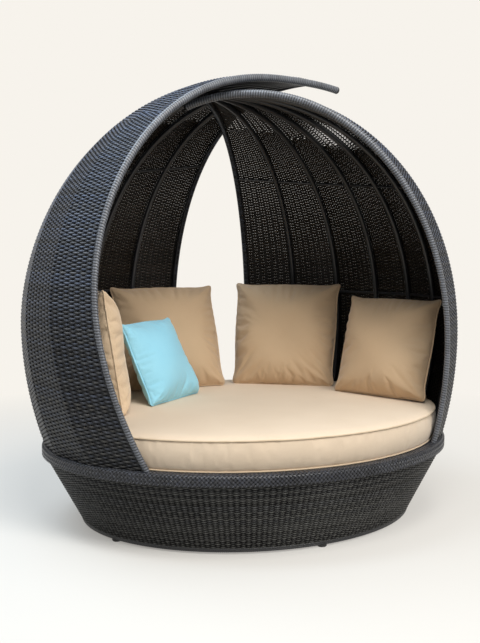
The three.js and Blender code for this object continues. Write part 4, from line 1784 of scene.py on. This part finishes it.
    def form(self, shrink: float) -> bpy.types.Mesh:
        """The pillow's plain form.

        Args:
            shrink: Its size as a share of the full one.

        Returns:
            A closed mesh in the frame.
        """
        u, v = self._grid(self.cells)
        middle = np.array([0.0, 0.0, self.side / 2])
        points, faces = [], []
        row = self.cells + 1
        for face in (1, -1):
            first = len(points) * row * row
            raw = self.shape(u, v, face) - middle
            points.append(self.placed(raw * shrink + middle))
            for line in range(self.cells):
                for column in range(self.cells):
                    low = first + line * row + column
                    quad = (low, low + 1, low + row + 1, low + row)
                    faces.append(quad if face > 0 else quad[::-1])
        mesh = bpy.data.meshes.new(self.name)
        mesh.from_pydata(np.concatenate(points).tolist(), [], faces)
        return mesh

    def seam(self, count: int = 60) -> Array:
        """The seam's points in the frame, once round.

        Args:
            count: Points on each side.

        Returns:
            The points, one a row.
        """
        run = np.sin(np.linspace(-0.5, 0.5, count, endpoint=False) * math.pi)
        ones = np.ones(count)
        u = np.concatenate([run, ones, -run, -ones])
        v = np.concatenate([-ones, run, ones, -run])
        return self.placed(self.shape(u, v, 0.0))

    def build(self) -> None:
        """Makes the pillow and its piping."""
        piece = new_piece(f"{self.name}_cushion", self.form(0.985))
        weld(piece)
        seam = self.seam()

        def held(points: Array) -> Array:
            """Holds the seam."""
            gaps = np.min(np.linalg.norm(points[:, None] - seam[None, ::3], axis=2), axis=1)
            return np.clip(1.3 - gaps / 0.012, 0, 1)

        Padding(voxel=0.0082, cap=0.022).inflate(piece, held)
        covered(piece, self.finish)
        settled(piece, self.body, [self.name])
        bundle = PathBundle()
        bundle.add(lerp(nearest_on(piece.data, seam), seam, self.piping_share), closed=True)
        sizes = {"Radius": self.piping_radius, "Turn": 0.009, "Ridge": 0.0}
        piping = self.wrap.make(f"{self.name}_piping", bundle, self.finish, sizes)
        settled(piping, self.body, [self.name])


def weld(piece: bpy.types.Object) -> None:
    """Merges the points that lie on one another."""
    piece.modifiers.new("weld", "WELD").merge_threshold = 0.0002
    applied(piece)


@dataclass(frozen=True)
class Studio:
    """The floor, the light and the camera."""

    pale: Colour = linear(247, 243, 236)
    matte: Colour = linear(216, 213, 207)
    bounce: Colour = linear(150, 148, 144)
    daylight: Colour = (0.93, 0.96, 1.0)
    daylight_strength: float = 0.42
    eye: tuple[float, float, float] = (-1.1144, -4.0568, 1.349)
    yaw: float = 15.36
    pitch: float = 8.19
    focal_pixels: float = 848.4
    frame_height: float = 643.0
    optical_centre: tuple[float, float] = (247.57, 362.95)
    frame_middle: tuple[float, float] = (240.0, 321.5)

    def build(self) -> None:
        """Makes the floor, the light and the camera."""
        self._build_world()
        self._build_floor()
        self._build_lights()
        self._build_camera()

    def _build_world(self) -> None:
        """Lights everything softly, and shows pale to the camera."""
        world = bpy.data.worlds.new("studio")
        bpy.context.scene.world = world
        world.use_nodes = True
        world.node_tree.nodes.clear()
        graph = Graph(world.node_tree)
        seen = self._shown(graph)
        kind = "ShaderNodeBackground"
        soft = graph.node(kind, sockets={"Color": (*self.daylight, 1.0), "Strength": self.daylight_strength})
        flat = graph.node(kind, sockets={"Color": (*self.pale, 1.0), "Strength": 1.0})
        mix = graph.node("ShaderNodeMixShader", sockets={0: seen, 1: soft.outputs[0], 2: flat.outputs[0]})
        graph.node("ShaderNodeOutputWorld", sockets={0: mix.outputs[0]})

    @staticmethod
    def _shown(graph: Graph) -> Term:
        """Where the background shows: 1 for rays from the camera and for reflected and transmitted ones.

        Args:
            graph: The graph that gets the node.

        Returns:
            The mask.
        """
        rays = graph.node("ShaderNodeLightPath").outputs
        camera, glossy, through = (
            Term(graph, rays[f"Is {kind} Ray"]) for kind in ("Camera", "Glossy", "Transmission")
        )
        return camera.math("MAXIMUM", glossy).math("MAXIMUM", through)

    def _build_floor(self) -> None:
        """Makes the floor, which fades into the background away from the daybed; near it, painted light
        makes it darker to the left and lighter to the right.
        """
        size = 40.0
        corners = [(-size, -size, 0.0), (size, -size, 0.0), (size, size, 0.0), (-size, size, 0.0)]
        mesh = bpy.data.meshes.new("floor")
        mesh.from_pydata(corners, [], [(0, 1, 2, 3)])
        floor = new_piece("floor", mesh)
        material, graph = new_shader("pale_floor")
        place = graph.term("ShaderNodeTexCoord", output="Object")
        distance = graph.term("ShaderNodeVectorMath", {"operation": "LENGTH"}, {0: place}, "Value")
        fade = ((distance - 1.6) * 0.45).limited()
        seen = self._shown(graph)
        colour = graph.mixed(seen, self.bounce, self.matte)
        matte = graph.node("ShaderNodeBsdfDiffuse", sockets={"Color": colour})
        glow = graph.node("ShaderNodeEmission", sockets={"Color": (*self.pale, 1.0), "Strength": 1.0})
        # Painted light and shadow: darker to the left and lighter to the right.
        painted_side_light = (graph.parts(place)[0] * 0.14).math("MAXIMUM", -0.18).math("MINIMUM", 0.3)
        share = seen * (fade * 0.6 + painted_side_light * (1.0 - fade) + 0.4).limited()
        mix = graph.node("ShaderNodeMixShader", sockets={0: share, 1: matte.outputs[0], 2: glow.outputs[0]})
        graph.node("ShaderNodeOutputMaterial", sockets={"Surface": mix.outputs[0]})
        mesh.materials.append(material)

    def _build_lights(self) -> None:
        """Adds the key light at the front right, two softer ones in front, and the sky's blue above."""
        self._panel("key", (2.3, -4.9, 4.3), (0.0, -0.2, 0.6), 2.0, 175.0, (1.0, 0.98, 0.95))
        self._panel("overhead", (-0.1, -2.9, 5.3), (0.0, -0.2, 0.5), 2.2, 175.0, (1.0, 0.99, 0.97))
        self._panel("fill", (-1.2, -6.0, 2.6), (0.3, 0.0, 0.9), 3.0, 18.0, (1.0, 0.98, 0.96))
        self._panel("sky", (-2.4, 0.8, 5.4), (-0.4, 0.0, 1.2), 3.5, 230.0, (0.72, 0.86, 1.0))

    @staticmethod
    def _panel(
        name: str,
        place: tuple[float, float, float],
        target: tuple[float, float, float],
        size: float,
        power: float,
        colour: Colour,
    ) -> None:
        """Adds a square soft light.

        Args:
            name: The light's name.
            place: Where it hangs.
            target: What it points at.
            size: Its side.
            power: Its power in watts.
            colour: Its colour.
        """
        light = bpy.data.lights.new(name, "AREA")
        light.shape = "SQUARE"
        light.size = size
        light.energy = power
        light.color = colour
        panel = bpy.data.objects.new(name, light)
        panel.location = place
        panel.rotation_mode = "QUATERNION"
        panel.rotation_quaternion = (Vector(target) - Vector(place)).to_track_quat("-Z", "Y")
        bpy.context.scene.collection.objects.link(panel)

    def _build_camera(self) -> None:
        """Stands the camera where the photograph was taken from."""
        lens = bpy.data.cameras.new("camera")
        lens.sensor_width = 36.0
        lens.lens = self.focal_pixels / self.frame_height * lens.sensor_width
        lens.shift_x = (self.frame_middle[0] - self.optical_centre[0]) / self.frame_height
        lens.shift_y = (self.optical_centre[1] - self.frame_middle[1]) / self.frame_height
        lens.clip_end = 200.0
        camera = bpy.data.objects.new("camera", lens)
        yaw, pitch = math.radians(self.yaw), math.radians(self.pitch)
        ahead = Vector((
            math.sin(yaw) * math.cos(pitch), math.cos(yaw) * math.cos(pitch), -math.sin(pitch)
        ))
        camera.location = self.eye
        camera.rotation_mode = "QUATERNION"
        camera.rotation_quaternion = ahead.to_track_quat("-Z", "Y")
        bpy.context.scene.collection.objects.link(camera)
        bpy.context.scene.camera = camera


LEFT_FORM = ShellForm(
    side=Side.LEFT, pole=(0.314, 0.033), crown=2.117, belly=0.946, swell=1.074, crown_power=1.83,
    shoulder_power=2.52, edge_azimuth=-169.0, rim_azimuth=-53.0, foot_sweep=15.0, sweep_power=2.3,
    rim_fan=0.060, horn_length=0.202, upper_hoop=(1.754, 1.560), lower_hoop=1.075,
)
RIGHT_FORM = ShellForm(
    side=Side.RIGHT, pole=(-0.242, -0.055), crown=2.017, belly=0.863, swell=1.064, crown_power=2.04,
    shoulder_power=2.2, edge_azimuth=168.5, rim_azimuth=39.6, foot_sweep=15.4, sweep_power=0.37,
    rim_fan=0.206, horn_length=0.069, upper_hoop=(1.684, 1.575), lower_hoop=1.055,
)


def pillows(wrap: WrapTree) -> list[Pillow]:
    """The four back pillows and the throw pillow.

    Args:
        wrap: The tree that makes their piping.

    Returns:
        The pillows, at their places.
    """
    tan = {"wrap": wrap, "finish": TAN_CANVAS, "slot": Slot.PILLOW, "thickness": 0.190, "draw_in": 0.018}
    return [
        # The far-left pillow wears the tan canvas's painted-light copy.
        Pillow(
            "pillow_far_left", side=0.608, across=-0.690, back=0.064, facing=98, lean=8,
            **{**tan, "finish": LIT_TAN_CANVAS},
        ),
        Pillow("pillow_back_left", side=0.608, across=-0.292, back=0.430, facing=6, lean=24, **tan),
        Pillow(
            "pillow_back_centre", side=0.608, across=0.312, back=0.404, facing=-26, lean=20,
            splay=0.03, **tan,
        ),
        Pillow("pillow_right", side=0.545, across=0.681, back=-0.066, facing=-52, lean=19, **tan),
        Pillow(
            "throw_pillow", wrap, TURQUOISE_CANVAS, Slot.THROW, side=0.442, thickness=0.150,
            draw_in=0.013, across=-0.347, back=0.100, facing=46, lean=25, fill=0.7,
        ),
    ]


def main() -> None:
    """Builds the daybed and the studio, piece by piece."""
    logging.basicConfig(level=logging.INFO, format="%(message)s")
    bpy.context.scene.view_settings.view_transform = "Standard"
    Studio().build()
    band, strand = StrandTree(4), StrandTree(6)
    rim, rib, piping = WrapTree(16, 4), WrapTree(10, 3), WrapTree(8, 1)
    Mattress(piping).build()
    for pillow in pillows(piping):
        pillow.build()
    Base(strand, rib).build()
    for form in (LEFT_FORM, RIGHT_FORM):
        Shell(form, band, rim, rib).build()


if __name__ == "__main__":
    main()
